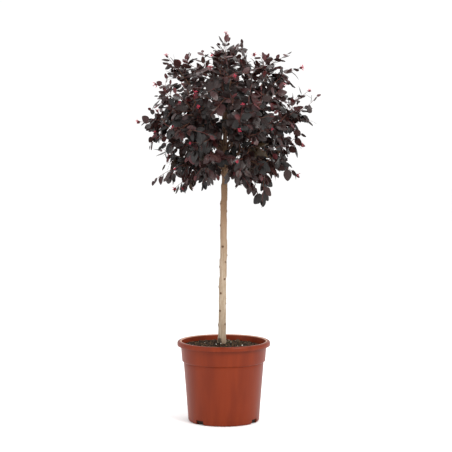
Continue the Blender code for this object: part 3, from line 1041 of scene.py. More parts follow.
def pot_profile(looks):
    """The pot's wall from the underside's middle, up the outside, over the lip and down inside."""
    top = POT_HIGH.z
    lip_radius = POT_HIGH.x
    collar_top = lip_radius - looks.collar_inset
    collar_foot = collar_top - looks.collar_taper
    body_top = collar_foot - looks.step_inset
    step_top = top - looks.collar
    step_foot = step_top - looks.step
    slope = (body_top - looks.foot) / step_foot
    foot_in = looks.foot + slope * looks.rounding - looks.rounding
    roll = looks.lip / 2
    underside = [(AXIS_HOLE, 0.0), (foot_in, 0.0)]
    outside = [
        *arc(foot_in, looks.rounding, looks.rounding, -84, -6, 6),
        *arc(body_top - EASE, step_foot - EASE, EASE, 5, 50, 3),
        *arc(collar_foot - EASE, step_top + EASE, EASE, -45, -5, 4),
        # The wall turns out under the lip, whose inner side hangs down from there
        *arc(collar_top - EASE, top - looks.lip * 0.62, EASE, 0, 1, 2),
        (collar_top, top - looks.lip * 0.55),
        (lip_radius - looks.wall, top - looks.lip * 0.60),
        (lip_radius - looks.wall, top - looks.lip + EASE),
        *arc(lip_radius - EASE * 1.2, top - looks.lip + EASE, EASE, -120, 0, 5),
        *arc(lip_radius - roll, top - roll, roll, 8, 108, 11),
    ]
    inner_top = collar_top - looks.wall
    inside = [
        *arc(inner_top + EASE * 2, top - EASE * 2.6, EASE * 2, 120, 180, 4),
        *arc(collar_foot - looks.wall - EASE, step_top + EASE, EASE, 0, -40, 3),
        *arc(body_top - looks.wall + EASE, step_foot - EASE, EASE, 130, 175, 3),
        (looks.foot + slope * 0.02 - looks.wall, 0.020),
        (looks.foot - looks.wall - EASE, looks.floor + EASE),
        (looks.foot - looks.wall - EASE * 2, looks.floor),
        (AXIS_HOLE, looks.floor),
    ]
    return stretch(np.array([*underside, *outside, *inside], float), PROFILE_STEP)


# The notches that show, in degrees from the front to the right; one more lies opposite each
NOTCH_ANGLES = (59.1, -42.2)


def notch_block(looks, angle):
    """A block that cuts one drainage notch, at an angle in degrees from the front to the right."""
    mesh = bpy.data.meshes.new("notch")
    x, y, z = looks.notch_depth, looks.notch_width / 2, looks.notch_height
    corners = [(sx * x, sy * y, sz * z) for sx in (-1, 1) for sy in (-1, 1) for sz in (-1, 1)]
    faces = [(0, 1, 3, 2), (4, 6, 7, 5), (0, 4, 5, 1), (2, 3, 7, 6), (0, 2, 6, 4), (1, 5, 7, 3)]
    mesh.from_pydata(corners, [], faces)
    turn = Matrix.Rotation(math.radians(angle - 90.0), 4, "Z")
    mesh.transform(turn @ Matrix.Translation((looks.foot, 0.0, 0.0)))
    return show("notch", mesh)


def cut_notches(mesh, looks):
    """The pot's mesh with its four notches cut out."""
    whole = show("uncut", mesh)
    blocks = [notch_block(looks, angle + turn) for angle in NOTCH_ANGLES for turn in (0, 180)]
    for block in blocks:
        cut = whole.modifiers.new("notch", "BOOLEAN")
        cut.object = block
    graph = bpy.context.evaluated_depsgraph_get()
    carved = bpy.data.meshes.new_from_object(whole.evaluated_get(graph))
    for item in (whole, *blocks):
        bpy.data.objects.remove(item, do_unlink=True)
    carved.shade_smooth()
    carved.set_sharp_from_angle(angle=math.radians(38.0))
    return carved


class FRINGE_OT_pot(bpy.types.Operator):
    """Turn the pot's wall round its axis and cut the drainage notches"""

    bl_idname = "fringe.pot"
    bl_label = "Pot"

    def execute(self, context):
        looks = context.scene.fringe_pot
        mesh = shells("pot_shell", turned(pot_profile(looks), POT_SIDES))
        carved = cut_notches(mesh, looks)
        carved.materials.clear()
        add_piece("pot_shell", carved, plastic_finish(looks), ["pot"])
        return {"FINISHED"}


# Soil

SOIL_SIDES = 200
SOIL_RINGS = 84
SOIL_GAP = 0.0006
SOIL_EDGE = 0.93

# Sizes of the unevenness of the soil, and the crumbs' distance from the wall, rings in degrees and sides
LUMP, CLOD, GRAIN = 0.030, 0.009, 0.0045
CRUMB_MARGIN = 0.003
CRUMB_LEVELS = (-58, -18, 24, 62)
CRUMB_SIDES = 6


def soil_grid(looks):
    """The soil as one shell: the flat bottom, the wall along the pot's inside, and the rough top.

    On the top the height is the even cone plus ripples of three sizes, which fade at the wall.
    """
    pot = bpy.context.scene.fringe_pot
    radius = SOIL_HIGH.x - SOIL_GAP
    foot = pot.foot - pot.wall - SOIL_GAP * 2
    step = POT_HIGH.z - pot.collar - pot.step
    collar_foot = POT_HIGH.x - pot.collar_inset - pot.collar_taper - pot.wall - SOIL_GAP * 2
    body_top = collar_foot - pot.step_inset
    wall = [(AXIS_HOLE, pot.floor + SOIL_GAP), (foot, pot.floor + SOIL_GAP)]
    wall += [(body_top, step - EASE), (body_top, step + EASE), (collar_foot, step + pot.step * 2)]
    places = np.linspace(1.0, 0.0, SOIL_RINGS) ** 0.9
    top = [(AXIS_HOLE + (radius - AXIS_HOLE) * place, SOIL_HIGH.z) for place in places]
    grid = turned([*wall, *top], SOIL_SIDES)
    surface = grid[:, len(wall) :]
    flat = surface * (1.0, 1.0, 0.0)
    reach = np.hypot(surface[..., 0], surface[..., 1]) / radius
    fade = 1.0 - np.clip((reach - SOIL_EDGE) / (1.0 - SOIL_EDGE), 0, 1)
    rough = ripple(flat, LUMP, 1) * 0.6 + ripple(flat, CLOD, 2) * 0.45
    rough += np.abs(ripple(flat, GRAIN, 3)) * 0.45
    surface[..., 2] = soil_height(surface) + rough * looks.relief * fade - SOIL_GAP
    return grid


def crumb_shells(places, sizes, rng, long):
    """Crumbs: rings at four levels of a ball, each point drawn in or out at random, then turned."""
    number = len(places)
    level = np.radians(CRUMB_LEVELS)
    ball = turned(np.stack([np.cos(level), np.sin(level)], 1), CRUMB_SIDES)
    shape = ball * rng.uniform(0.72, 1.2, (number, len(level), CRUMB_SIDES, 1))
    stretch_by = np.stack([rng.uniform(0.7, 1.1, number) for _ in range(3)], 1)
    stretch_by[:, 2] *= long
    shape = np.einsum("nij,nrsj->nrsi", spins(number, rng), shape * stretch_by[:, None, None])
    return places[:, None, None] + shape * (sizes / 2)[:, None, None, None]


def spins(number, rng):
    """Random turns, as one 3 x 3 matrix each."""
    first = unit(rng.normal(size=(number, 3)))
    second = rng.normal(size=(number, 3))
    second = unit(second - first * (first * second).sum(1, keepdims=True))
    return np.stack([first, second, np.cross(first, second)], 2)


def crumb_places(number, radius, rng):
    """Places on the soil, evenly spread by area, clear of the stem and the wall."""
    reach = np.sqrt(rng.uniform(0.012, 1.0, number)) * radius
    turn = rng.uniform(0, 2 * math.pi, number)
    places = np.stack([reach * np.cos(turn), reach * np.sin(turn), np.zeros(number)], 1)
    places[:, 2] = soil_height(places)
    return places


# What lies among the crumbs: name, share of the number, size and length against a crumb's, and colours
STREWN = (
    ("bark_bits", 0.20, 1.1, 1.9, (0.045, 0.024, 0.012), (0.130, 0.078, 0.042)),
    ("moss_specks", 0.15, 0.9, 1.0, (0.034, 0.032, 0.009), (0.100, 0.088, 0.028)),
    ("pale_grit", 0.012, 0.9, 1.0, (0.55, 0.50, 0.42), (0.80, 0.76, 0.70)),
)


class FRINGE_OT_soil(bpy.types.Operator):
    """Fill the pot with potting mix and strew its crumbs"""

    bl_idname = "fringe.soil"
    bl_label = "Soil"

    def execute(self, context):
        looks = context.scene.fringe_soil
        earth = tuple(looks.earth)
        rng = np.random.default_rng(looks.seed)
        finish = earth_finish("potting_mix", scaled(earth, 0.5), scaled(earth, 2.4))
        add_piece("soil_bed", shells("soil_bed", soil_grid(looks)), finish, ["soil"])
        radius = SOIL_HIGH.x - CRUMB_MARGIN
        kinds = (("soil_crumbs", 0.62, 1.0, 1.0, scaled(earth, 0.7), scaled(earth, 2.6)), *STREWN)
        for name, part, size, long, dark, light in kinds:
            number = int(looks.crumbs * part)
            places = crumb_places(number, radius, rng)
            # Moss lies in patches, more of it towards the front
            if name == "moss_specks":
                places = places[ripple(places * (1, 1, 0), 0.07, 4) + places[:, 1] * -6 > -0.1]
            sizes = looks.crumb * size * rng.lognormal(0.0, 0.36, len(places))
            places[:, 2] += sizes * 0.18
            points = crumb_shells(places, sizes, rng, long)
            finish = earth_finish(name, dark, light)
            add_piece(name, shells(name, points, sharp=60.0), finish, ["soil"])
        return {"FINISHED"}


# Stem and branches

STEM_SIDES = 48
STEM_STEP = 0.0016
STEM_SUNK = 0.006

# Sizes of the bark's unevenness, and the heights between which the knots behind lie
FIBRE, BULGE = 0.005, 0.018
KNOTS_FROM, KNOTS_TO = 0.25, 0.63


def knot_list(rng):
    """Each knot's height and its angle round the stem from the front to the right."""
    knots = [(height, math.asin(place)) for height, place in KNOTS]
    for height in np.linspace(KNOTS_FROM, KNOTS_TO, KNOTS_BEHIND):
        behind = math.pi + rng.uniform(-1.1, 1.1)
        knots.append((height + rng.uniform(-0.012, 0.012), behind))
    return knots


def stem_grid(looks):
    """The stem's points, and how much each one belongs to a knot's scar.

    The radius is the CAD's, plus ripples stretched along the stem, plus one bump with a dimple in it
    for each knot: knot exp(-d^2) - 0.55 knot exp(-7 d^2), with d the distance over the knot's size.
    """
    rng = np.random.default_rng(looks.seed)
    heights = np.arange(STEM_LOW.z - STEM_SUNK, STEM_HIGH.z, STEM_STEP)
    middles, radii = stem_line(heights)
    turn = np.linspace(0, 2 * math.pi, STEM_SIDES, endpoint=False)
    ring = np.stack([np.sin(turn), -np.cos(turn), np.zeros(STEM_SIDES)], -1)
    skin = middles[:, None] + ring[None] * radii[:, None, None]
    relief = ripple(skin * (1, 1, 0.16), FIBRE, looks.seed) * 0.6
    relief += ripple(skin * (1, 1, 0.5), BULGE, looks.seed + 1) * 1.5
    relief *= looks.relief
    scar = np.zeros_like(relief)
    for height, angle in knot_list(rng):
        size = looks.knot_size * rng.uniform(0.75, 1.2)
        across = (turn - angle + math.pi) % (2 * math.pi) - math.pi
        rise = (heights - height)[:, None] / (size * 0.9)
        off = rise**2 + (across[None] * radii[:, None] / size) ** 2
        relief += looks.knot * (np.exp(-off) - 0.55 * np.exp(-off * 7))
        scar = np.maximum(scar, np.exp(-off * 1.3) * rng.uniform(0.7, 1.1))
    return skin + ring[None] * relief[..., None], scar


# The stub: where it leaves the stem in shares of the stem's radius, then its bend, end and radii
STUB_HEIGHT = 0.003
STUB_ROOT = (-0.30, -0.85, 0.0)
STUB_BEND = (-0.004, -0.002, 0.004)
STUB_END = (-0.003, -0.005, 0.012)
STUB_RADII = (0.0052, 0.0040)
STUB_STEP = 0.0012
STUB_SIDES = 16
STUB_BARK = (0.085, 0.058, 0.036)


def stub_points():
    """The stub of a pruned shoot at the left of the stem's foot, with a flat cut end."""
    middles, radii = stem_line([STEM_LOW.z + STUB_HEIGHT])
    foot = middles[0] + np.array(STUB_ROOT) * radii[0]
    path = curve(foot, foot + STUB_BEND, foot + STUB_END, STUB_STEP)
    radius = np.linspace(*STUB_RADII, len(path))
    radius[-1] *= 0.82
    grid = tubes(path[None], radius[None], STUB_SIDES)
    return grid + np.abs(ripple(grid, 0.004, 6))[..., None] * 0.00025


class FRINGE_OT_stem(bpy.types.Operator):
    """Wrap the stem in bark with its knots, and add the stub at its foot"""

    bl_idname = "fringe.stem"
    bl_label = "Stem"

    def execute(self, context):
        looks = context.scene.fringe_bark
        skin, scar = stem_grid(looks)
        mesh = tube_mesh("stem_bark", skin[None])
        add_attribute(mesh, "scar", scar)
        add_piece("stem_bark", mesh, stem_finish(looks), ["stem"])
        mesh = tube_mesh("pruned_stub", stub_points())
        add_piece("pruned_stub", mesh, wood_finish("stub_bark", STUB_BARK, 1.0), ["stem"])
        return {"FINISHED"}


BOUGH_RINGS, BOUGH_SIDES = 30, 12
TWIG_RINGS, TWIG_SIDES = 9, 6
YOUNG_SHARE = 0.5
BOUGH_THINS_TO = 0.45


def limb_set(limbs, tip, rings, first, last):
    """The paths and radii of some limbs at even steps between two shares of their length."""
    rows = [resampled(limb.path, limb_radii(limb, tip), rings, first, last) for limb in limbs]
    paths, radii = zip(*rows)
    return np.array(paths), np.array(radii)


def branch_mesh(name, paths, radii, sides, relief):
    """Tubes of bark along paths, uneven by a share of their radius."""
    grid = tubes(paths, radii, sides)
    uneven = ripple(grid, 0.010, 8) * relief
    middle = paths[:, :, None]
    grid = middle + (grid - middle) * (1.0 + uneven[..., None])
    return tube_mesh(name, grid)


class FRINGE_OT_branches(bpy.types.Operator):
    """Grow the boughs, and the twigs that branch from them"""

    bl_idname = "fringe.branches"
    bl_label = "Boughs and twigs"

    def execute(self, context):
        looks, tip = context.scene.fringe_bark, context.scene.fringe_crown.tip
        limbs = crown_limbs(context.scene)
        boughs = [limb for limb in limbs if limb.kind == "bough"]
        twigs = [limb for limb in limbs if limb.kind != "bough"]
        paths, _ = limb_set(boughs, tip, BOUGH_RINGS, 0.0, 1.0)
        mesh = branch_mesh("bough_bark", paths, bough_widths(boughs), BOUGH_SIDES, 0.06)
        finish = wood_finish("bough_bark", tuple(looks.bough), 4.0)
        add_piece("bough_bark", mesh, finish, BOUGHS)
        for name, tint, first, last in (
            ("twigs", looks.twig, 0.0, YOUNG_SHARE + 0.02),
            ("young_shoots", looks.young, YOUNG_SHARE, 1.0),
        ):
            paths, radii = limb_set(twigs, tip, TWIG_RINGS, first, last)
            mesh = branch_mesh(name, paths, radii, TWIG_SIDES, 0.10)
            add_piece(name, mesh, wood_finish(name, tuple(tint), 5.0), MASSES)
        return {"FINISHED"}


def bough_widths(boughs):
    """Each bough's radius: the CAD's as far as its solid goes, then thinner to its end."""
    rows = []
    for name, bough in zip(BOUGHS, boughs):
        _, solid = limb_line(name, BOUGH_STATIONS, BOUGH_BELL)
        run = run_along(bough.path)
        solid_end = run[len(BOUGH_STATIONS) + 1] / run[-1]
        widths = (solid.max(), solid.min(), solid.min() * BOUGH_THINS_TO)
        rows.append(np.interp(np.linspace(0, 1, BOUGH_RINGS), (0, solid_end, 1), widths))
    return np.array(rows)


# Leaves

LEAF_ROWS = (0.0, 0.09, 0.26, 0.50, 0.75, 0.92, 1.0)
LEAF_COLUMNS = (-1.0, -0.5, 0.0, 0.5, 1.0)
LEAF_GROUPS = ("plum", "dark", "burgundy", "wine", "bronze")
PLUM, DARK, BURGUNDY, WINE, BRONZE = range(len(LEAF_GROUPS))
LEAF_GLOSS = 0.33

# Columns of a leaf's row, after its place and its aim: its number from the tip, its limb and its side
ORDER, OWNER, SIDE = 6, 7, 8

# How far from a twig's tip its leaves start, in leaf stalks: below a bloom, and elsewhere
BARE_BELOW_BLOOM = 2.4
BARE_TIP = 0.4


def leaf_nodes(limbs, looks):
    """Where leaves stand: a row of place, aim, number from the tip, limb and side for each."""
    rng = np.random.default_rng(looks.seed)
    rows = []
    for number, limb in enumerate(limbs):
        if limb.kind == "bough":
            continue
        run = run_along(limb.path)
        leafy = looks.leafy * rng.uniform(0.75, 1.15) * (1.35 if "shoot" in limb.kind else 1.0)
        steps = np.arange(0.0, min(leafy, run[-1] * 0.92), looks.spacing)
        bare = looks.petiole * (BARE_BELOW_BLOOM if "bloom" in limb.kind else BARE_TIP)
        from_tip = bare + steps + rng.uniform(-0.25, 0.25, len(steps)) * looks.spacing
        places = run[-1] - np.clip(from_tip, 0.0, run[-1])
        aims = unit(np.gradient(limb.path, axis=0))
        found = read_along(limb.path, np.hstack([limb.path, aims]), places)
        order = np.arange(len(steps))
        side = np.where((order + number) % 2, 1.0, -1.0)
        extra = np.stack([order, np.full(len(steps), number), side], 1)
        rows.append(np.hstack([found, extra]))
    return np.concatenate(rows)


# What turns a leaf's face: the way out of the crown, the way up, and chance. Then the slants in degrees
# of the first, the second and all other leaves from a twig's tip, and their spread
FACE_OUT = 0.95
FACE_UP = (0.0, 0.0, 0.48)
FACE_STRAY = 0.52
SLANTS = (14, 38, 58)
SLANT_STRAY = 12

# How much a leaf droops in the crown's middle, how much less at its top, and how much it leans outwards
DROOP = 0.42
DROOP_LESS = 0.62
LEAN_OUT = 0.20


def leaf_frames(nodes, reach, rng):
    """Each leaf's direction and the direction that its upper side faces.

    A leaf leaves its twig at a slant to one side and droops more the lower it stands. Its face turns
    to the light: up, and out from the crown.
    """
    place, aim = nodes[:, :3], unit(nodes[:, 3:6])
    order, side = nodes[:, ORDER], nodes[:, SIDE]
    outward = unit(place - crown_middle())
    height = height_share(place, reach)
    light = unit(outward * FACE_OUT + FACE_UP + rng.normal(size=place.shape) * FACE_STRAY)
    across = unit(np.cross(aim, light))
    slant = np.radians(np.array(SLANTS)[np.minimum(order.astype(int), 2)])
    slant += np.radians(rng.normal(0, SLANT_STRAY, len(place)))
    lie = aim * np.cos(slant)[:, None] + across * (side * np.sin(slant))[:, None]
    droop = np.clip(DROOP - height * DROOP_LESS, 0.02, 1.05) * rng.uniform(0.4, 1.5, len(place))
    lie = unit(lie + outward * LEAN_OUT - np.array([0, 0, 1.0]) * droop[:, None])
    face = unit(light - lie * (light * lie).sum(1, keepdims=True))
    return lie, face


def leaf_group(nodes, limbs, reach, rng):
    """The colour of each leaf, dealt out by spray: redder at the tips and the top, bronze low, more often
    dark lower down, and dark in the crown's heart as painted shade.
    """
    middle = crown_middle()
    place, order = nodes[:, :3], nodes[:, ORDER]
    owner = nodes[:, OWNER].astype(int)
    ends = np.array([limb.path[-1] for limb in limbs])
    height = height_share(ends, reach)[owner]
    depth = (far(ends, middle) / reach)[owner]
    spray = rng.uniform(size=len(limbs))[owner]
    chance = rng.uniform(size=len(nodes))
    group = np.where(spray < 0.52 + height * 0.15, PLUM, DARK)
    red = 0.10 + 0.26 * np.clip(height, 0, 1) + 0.10 * (depth > 0.95)
    group = np.where(spray > 1 - red, BURGUNDY, group)
    group = np.where((height < -0.30) & (spray < 0.06), BRONZE, group)
    fresh = (height > -0.2) & (order < 4) & (chance < 0.25) & (depth > 0.9)
    group = np.where(fresh, BURGUNDY, group)
    young = (order < 2) & (depth > 0.88) & (chance < 0.34 + 0.3 * height)
    group = np.where(young, WINE, group)
    # Leaves in the crown's heart take the dark colour: painted shade
    inner = far(place, middle) < reach * 0.6
    return np.where(inner & (group != BRONZE), DARK, group)


def leaf_sizes(nodes, looks, reach, rng):
    """Each leaf's length: small at a twig's end, full-grown from the fourth leaf, larger low down."""
    grown = np.interp(nodes[:, ORDER], (0, 1, 2, 3), (0.50, 0.78, 0.94, 1.0))
    drawn = rng.uniform(0.72, 1.22, len(nodes))
    return looks.length * grown * (1.0 - 0.10 * height_share(nodes, reach)) * drawn


LEAF_THICKNESS = 0.0003
LEAF_STALK = 0.0005

# The ranges of a leaf's shape: half width, arch and sway in shares of its length, fold, curl and wave in
# shares of its half width, and its stalk in shares of the usual one
HALF_WIDTH = (0.31, 0.40)
LEAF_ARCH = (0.02, 0.30)
SWAY = (-0.12, 0.12)
FOLD = (-0.02, 0.30)
CURL = (0.10, 0.34)
WAVE = 0.07
STALK = (0.7, 1.3)


def leaf_shells(place, lie, face, size, looks, rng):
    """Leaves as flat closed shells of eight rings of six points.

    At share q along the blade and s across it, the half width is 0.31 to 0.40 of the length times
    sin(pi q^0.78)^0.6, and the surface rises by fold |s| - curl s^2 and falls by arch q^2. Its edge
    waves a little, and the underside's middle lies below.
    """
    number = len(place)
    rows, columns = np.array(LEAF_ROWS), np.array(LEAF_COLUMNS)
    across = np.cross(lie, face)
    width = size * rng.uniform(*HALF_WIDTH, number)
    outline = np.sin(np.pi * rows**0.78).clip(0.02) ** 0.6
    half = width[:, None] * outline[None]
    fold = rng.uniform(*FOLD, number)[:, None, None]
    curl = rng.uniform(*CURL, number)[:, None, None]
    arch = (rng.uniform(*LEAF_ARCH, number) * size)[:, None]
    sway = rng.uniform(*SWAY, number) * size
    stalk_run = looks.petiole * rng.uniform(*STALK, number)
    forward = stalk_run[:, None] + rows[None] * size[:, None]
    lift = -arch * rows[None] ** 2
    sideways = sway[:, None] * rows[None] ** 2
    s = np.concatenate([columns, [0.0]])
    rise = half[..., None] * (fold * np.abs(s) - curl * s**2)
    wave = np.sin(rows * 7.0 + rng.uniform(0, 6, (number, 1)))[..., None] * s**2 * WAVE
    rise = rise + wave * half[..., None]
    rise[..., -1] -= LEAF_THICKNESS
    blade = (
        forward[..., None, None] * lie[:, None, None]
        + (half[..., None] * s + sideways[..., None])[..., None] * across[:, None, None]
        + (rise + lift[..., None])[..., None] * face[:, None, None]
    )
    stalk = (s * LEAF_STALK)[:, None] * across[:, None, None]
    stalk[:, :, -1] -= face[:, None] * LEAF_THICKNESS * 2
    shape = np.concatenate([stalk, blade], 1)
    return place[:, None, None] + shape


def leaf_map(cells):
    """Each leaf's places on the map: its cell, the upper side on the left, the underside on the right."""
    up = np.concatenate([[0.015], 0.06 + 0.92 * np.array(LEAF_ROWS)])
    across = np.concatenate([np.linspace(0.01, 0.5, 5), [0.745, 0.99]])
    grid = np.stack(np.broadcast_arrays(across[None], up[:, None]), -1)
    corner = np.stack([cells % LEAF_CELLS, cells // LEAF_CELLS], 1)
    return (grid[None] + corner[:, None, None]) / LEAF_CELLS


class FRINGE_OT_leaves(bpy.types.Operator):
    """Set leaves along the ends of the twigs, joined by colour"""

    bl_idname = "fringe.leaves"
    bl_label = "Leaves"

    def execute(self, context):
        looks, reach = context.scene.fringe_leaf, context.scene.fringe_crown.reach
        limbs = crown_limbs(context.scene)
        nodes = leaf_nodes(limbs, looks)
        rng = np.random.default_rng(looks.seed + 1)
        lie, face = leaf_frames(nodes, reach, rng)
        size = leaf_sizes(nodes, looks, reach, rng)
        group = leaf_group(nodes, limbs, reach, rng)
        points = leaf_shells(nodes[:, :3], lie, face, size, looks, rng)
        cells = rng.integers(0, LEAF_CELLS**2, len(nodes))
        for number, name in enumerate(LEAF_GROUPS):
            chosen = group == number
            base = tuple(getattr(looks, name))
            finish = leaf_finish(name + "_leaf", base, leaf_under(name, looks), LEAF_GLOSS)
            mesh = shells("leaves_" + name, points[chosen], leaf_map(cells[chosen]), 50.0)
            add_piece("leaves_" + name, mesh, finish, MASSES)
        return {"FINISHED"}


UNDER_TINTS = {"wine": (1.6, 0.8, 0.9), "bronze": (0.9, 1.15, 0.7)}


def leaf_under(name, looks):
    """The underside's colour, which follows the upper side a little."""
    return scaled(tuple(looks.under), UNDER_TINTS.get(name, 1.0))


# Blossom

PETAL_RINGS = 7
PETAL_THICKNESS = 0.00012
BUD_SIZE = (0.0032, 0.0052)
BUD_RINGS, BUD_SIDES = 5, 6

# Flowers to a head, petals to a flower and buds to a head, how far flowers stray from the head's aim, and
# how far petals open at their foot and bend on from there, in radians
FLOWERS, PETALS, BUDS = 3, 4, 3
FLOWER_STRAY = 0.55
OPENING = (0.25, 0.75)
BEND = (-0.3, 1.1)

# Blossom that the front view hides: how far out and how far back its twigs end, and how often one blooms.
# Then how large blossom is on a shoot and on a shorter twig
OUTER_DEPTH = 0.93
HIDDEN_FROM = -0.02
BLOOM_CHANCE = 0.10
BLOOM_ON_SHOOT_SIZE = 1.35
BLOOM_ON_TWIG_SIZE = 0.9


def bloom_heads(limbs, reach, rng):
    """Where the blossom stands: place, direction and size, at the tips of blooming twigs.

    These are the twigs that bloom in the front view, and by chance some outer twigs of the rest.
    """
    middle = crown_middle()
    rows = []
    for limb in limbs:
        end = limb.path[-1]
        outer = limb.kind != "bough" and far(end, middle) / reach > OUTER_DEPTH
        hidden = outer and end[1] > HIDDEN_FROM
        if "bloom" in limb.kind or (hidden and rng.uniform() < BLOOM_CHANCE):
            size = rng.uniform(0.55, 1.0)
            size *= BLOOM_ON_SHOOT_SIZE if "shoot" in limb.kind else BLOOM_ON_TWIG_SIZE
            rows.append([*end, *unit(end - limb.path[-4]), size])
    return np.array(rows)


def petal_shells(heads, looks, rng):
    """Strap petals in clusters: each starts at its head, bends away from its axis and twists.

    The direction at share q is axis cos(a) + out sin(a), with a = opening + bend q, and the path is
    its running sum. The width is that of a strap, narrow at the foot and blunt at the end.
    """
    flowers = len(heads) * FLOWERS
    number = flowers * PETALS
    place = np.repeat(heads[:, :3], FLOWERS * PETALS, 0)
    size = np.repeat(heads[:, 6], FLOWERS * PETALS)
    axis = unit(heads[:, None, 3:6] + rng.normal(size=(len(heads), FLOWERS, 3)) * FLOWER_STRAY)
    axis = np.repeat(axis.reshape(-1, 3), PETALS, 0)
    spin = np.tile(np.arange(PETALS) * 2 * math.pi / PETALS, flowers)
    spin += np.repeat(rng.uniform(0, 6, flowers), PETALS)
    first = unit(np.cross(axis, rng.normal(size=3)))
    second = np.cross(axis, first)
    out = first * np.cos(spin)[:, None] + second * np.sin(spin)[:, None]
    side = np.cross(axis, out)
    q = np.linspace(0, 1, PETAL_RINGS)
    opening = rng.uniform(*OPENING, number)[:, None]
    bend = rng.uniform(*BEND, number)[:, None]
    angle = opening + bend * q[None]
    wave = (rng.normal(0, 0.28, (number, 1)) * np.sin(q * 5)[None])[..., None]
    aim = axis[:, None] * np.cos(angle)[..., None] + out[:, None] * np.sin(angle)[..., None]
    aim = unit(aim + side[:, None] * wave)
    long = looks.petal * size * rng.uniform(0.75, 1.15, number)
    step = (long / PETAL_RINGS)[:, None, None]
    path = place[:, None] + (np.cumsum(aim, 1) - aim[:, :1]) * step
    half = looks.width / 2 * (0.45 + 0.55 * np.sin(q * 2.3)) * np.sqrt(size)[:, None]
    flat = side[:, None] * half[..., None]
    thin = np.cross(aim, side[:, None]) * PETAL_THICKNESS
    return path[:, :, None] + np.stack([flat, thin, -flat, -thin], 2)


def bud_shells(heads, rng):
    """Small ovals: a calyx at the foot of each head, and closed buds beside it."""
    place = np.repeat(heads[:, :3], BUDS, 0)
    aim = unit(np.repeat(heads[:, 3:6], BUDS, 0) + rng.normal(size=(len(place), 3)) * 0.5)
    size = np.repeat(heads[:, 6], BUDS) * rng.uniform(*BUD_SIZE, len(place))
    q = np.linspace(0.0, 1.0, BUD_RINGS)
    paths = place[:, None] + aim[:, None] * q[:, None] * size[:, None, None]
    radii = size[:, None] * 0.30 * np.sin(np.pi * (0.12 + 0.80 * q))
    return tubes(paths, radii, BUD_SIDES)


class FRINGE_OT_blossom(bpy.types.Operator):
    """Open the crimson blossom at the tips of the blooming twigs"""

    bl_idname = "fringe.blossom"
    bl_label = "Blossom"

    def execute(self, context):
        looks, reach = context.scene.fringe_bloom, context.scene.fringe_crown.reach
        rng = np.random.default_rng(looks.seed)
        heads = bloom_heads(crown_limbs(context.scene), reach, rng)
        for name, points, finish_name, tint in (
            ("petals", petal_shells(heads, looks, rng), "crimson_petal", looks.crimson),
            ("calyx_and_buds", bud_shells(heads, rng), "calyx", looks.calyx),
        ):
            finish = petal_finish(finish_name, tuple(tint))
            add_piece(name, tube_mesh(name, points, 60.0), finish, MASSES)
        return {"FINISHED"}


# Stage

SENSOR_WIDTH = 36.0
VIEW_LIMIT = 200.0
FLOOR_SUNK = 0.0003
AIM = (0.0, 0.0, 0.6)

# The soft lights: name, place, width, height, power in watts and tint
LIGHTS = (
    ("key", (1.9, -2.4, 2.6), 1.3, 1.3, 80.0, (1.0, 0.98, 0.95)),
    ("fill", (-2.4, -2.0, 1.4), 1.4, 2.0, 18.0, (0.95, 0.98, 1.0)),
    ("top", (0.2, 0.6, 3.0), 2.0, 2.0, 30.0, (1.0, 1.0, 1.0)),
)


def add_softbox(name, place, width, height, power, tint):
    """A large soft light at a place, turned towards the plant's middle."""
    light = bpy.data.lights.new(name, "AREA")
    light.shape = "RECTANGLE"
    light.size, light.size_y = width, height
    light.energy = power
    light.color = tint
    show(name, light, place, (Vector(AIM) - Vector(place)).to_track_quat("-Z", "Y").to_euler())


def add_camera(looks):
    """The camera of the front view."""
    camera = bpy.data.cameras.new("camera")
    camera.lens = looks.lens
    camera.sensor_width = SENSOR_WIDTH
    camera.clip_end = VIEW_LIMIT
    place = (looks.shift, -looks.distance, looks.height)
    item = show("camera", camera, place, (math.pi / 2 - looks.pitch, 0.0, 0.0))
    bpy.context.scene.camera = item


def add_floor(looks):
    """The floor, which belongs to the stage and not to the plant."""
    half = looks.floor / 2
    corners = [(-half, -half), (half, -half), (half, half), (-half, half)]
    mesh = bpy.data.meshes.new("floor")
    mesh.from_pydata([(x, y, -FLOOR_SUNK) for x, y in corners], [], [(0, 1, 2, 3)])
    mesh.materials.append(floor_finish().material)
    floor = show("floor", mesh)


def add_daylight(looks):
    """The same pale light from every side."""
    world = bpy.data.worlds.new("studio")
    world.use_nodes = True
    background = world.node_tree.nodes["Background"]
    background.inputs["Color"].default_value = (1.0, 1.0, 1.0, 1.0)
    background.inputs["Strength"].default_value = looks.daylight
    bpy.context.scene.world = world


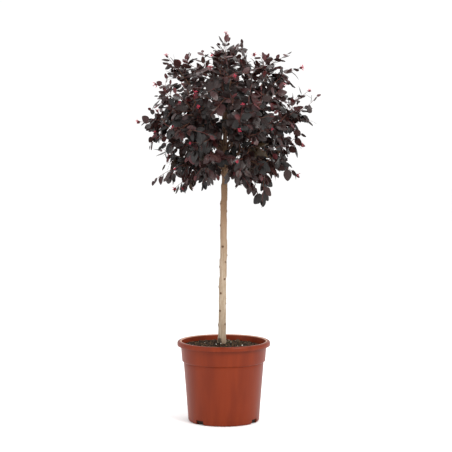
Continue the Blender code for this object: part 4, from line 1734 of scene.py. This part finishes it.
class FRINGE_OT_stage(bpy.types.Operator):
    """Set up the pale floor, the soft light and the camera"""

    bl_idname = "fringe.stage"
    bl_label = "Stage"

    def execute(self, context):
        looks = context.scene.fringe_stage
        add_camera(looks)
        add_floor(looks)
        add_daylight(looks)
        for light in LIGHTS:
            add_softbox(*light)
        context.scene.view_settings.view_transform = "Standard"
        return {"FINISHED"}


# Panel


class FRINGE_PT_panel(bpy.types.Panel):
    """The steps that build the plant, with their settings"""

    bl_idname = "FRINGE_PT_panel"
    bl_label = "Potted Fringe Flower"
    bl_space_type = "VIEW_3D"
    bl_region_type = "UI"
    bl_category = "Fringe Flower"

    def draw(self, context):
        for step, groups in STEPS:
            box = self.layout.box()
            box.operator(step.bl_idname)
            for group in groups:
                settings = getattr(context.scene, group)
                for name in settings.__annotations__:
                    box.prop(settings, name)


SETTINGS = {
    "fringe_pot": PotLooks,
    "fringe_soil": SoilLooks,
    "fringe_bark": BarkLooks,
    "fringe_crown": CrownGrowth,
    "fringe_leaf": LeafLooks,
    "fringe_bloom": BloomLooks,
    "fringe_stage": StageLooks,
}
STEPS = (
    (FRINGE_OT_pot, ("fringe_pot",)),
    (FRINGE_OT_soil, ("fringe_soil",)),
    (FRINGE_OT_stem, ("fringe_bark",)),
    (FRINGE_OT_branches, ("fringe_crown",)),
    (FRINGE_OT_leaves, ("fringe_leaf",)),
    (FRINGE_OT_blossom, ("fringe_bloom",)),
    (FRINGE_OT_stage, ("fringe_stage",)),
)


def register():
    for name, group in SETTINGS.items():
        bpy.utils.register_class(group)
        setattr(bpy.types.Scene, name, PointerProperty(type=group))
    for step, _ in STEPS:
        bpy.utils.register_class(step)
    bpy.utils.register_class(FRINGE_PT_panel)


def unregister():
    bpy.utils.unregister_class(FRINGE_PT_panel)
    for step, _ in reversed(STEPS):
        bpy.utils.unregister_class(step)
    for name, group in SETTINGS.items():
        delattr(bpy.types.Scene, name)
        bpy.utils.unregister_class(group)


def main():
    register()
    bpy.ops.fringe.pot()
    bpy.ops.fringe.soil()
    bpy.ops.fringe.stem()
    bpy.ops.fringe.branches()
    bpy.ops.fringe.leaves()
    bpy.ops.fringe.blossom()
    bpy.ops.fringe.stage()


if __name__ == "__main__":
    main()
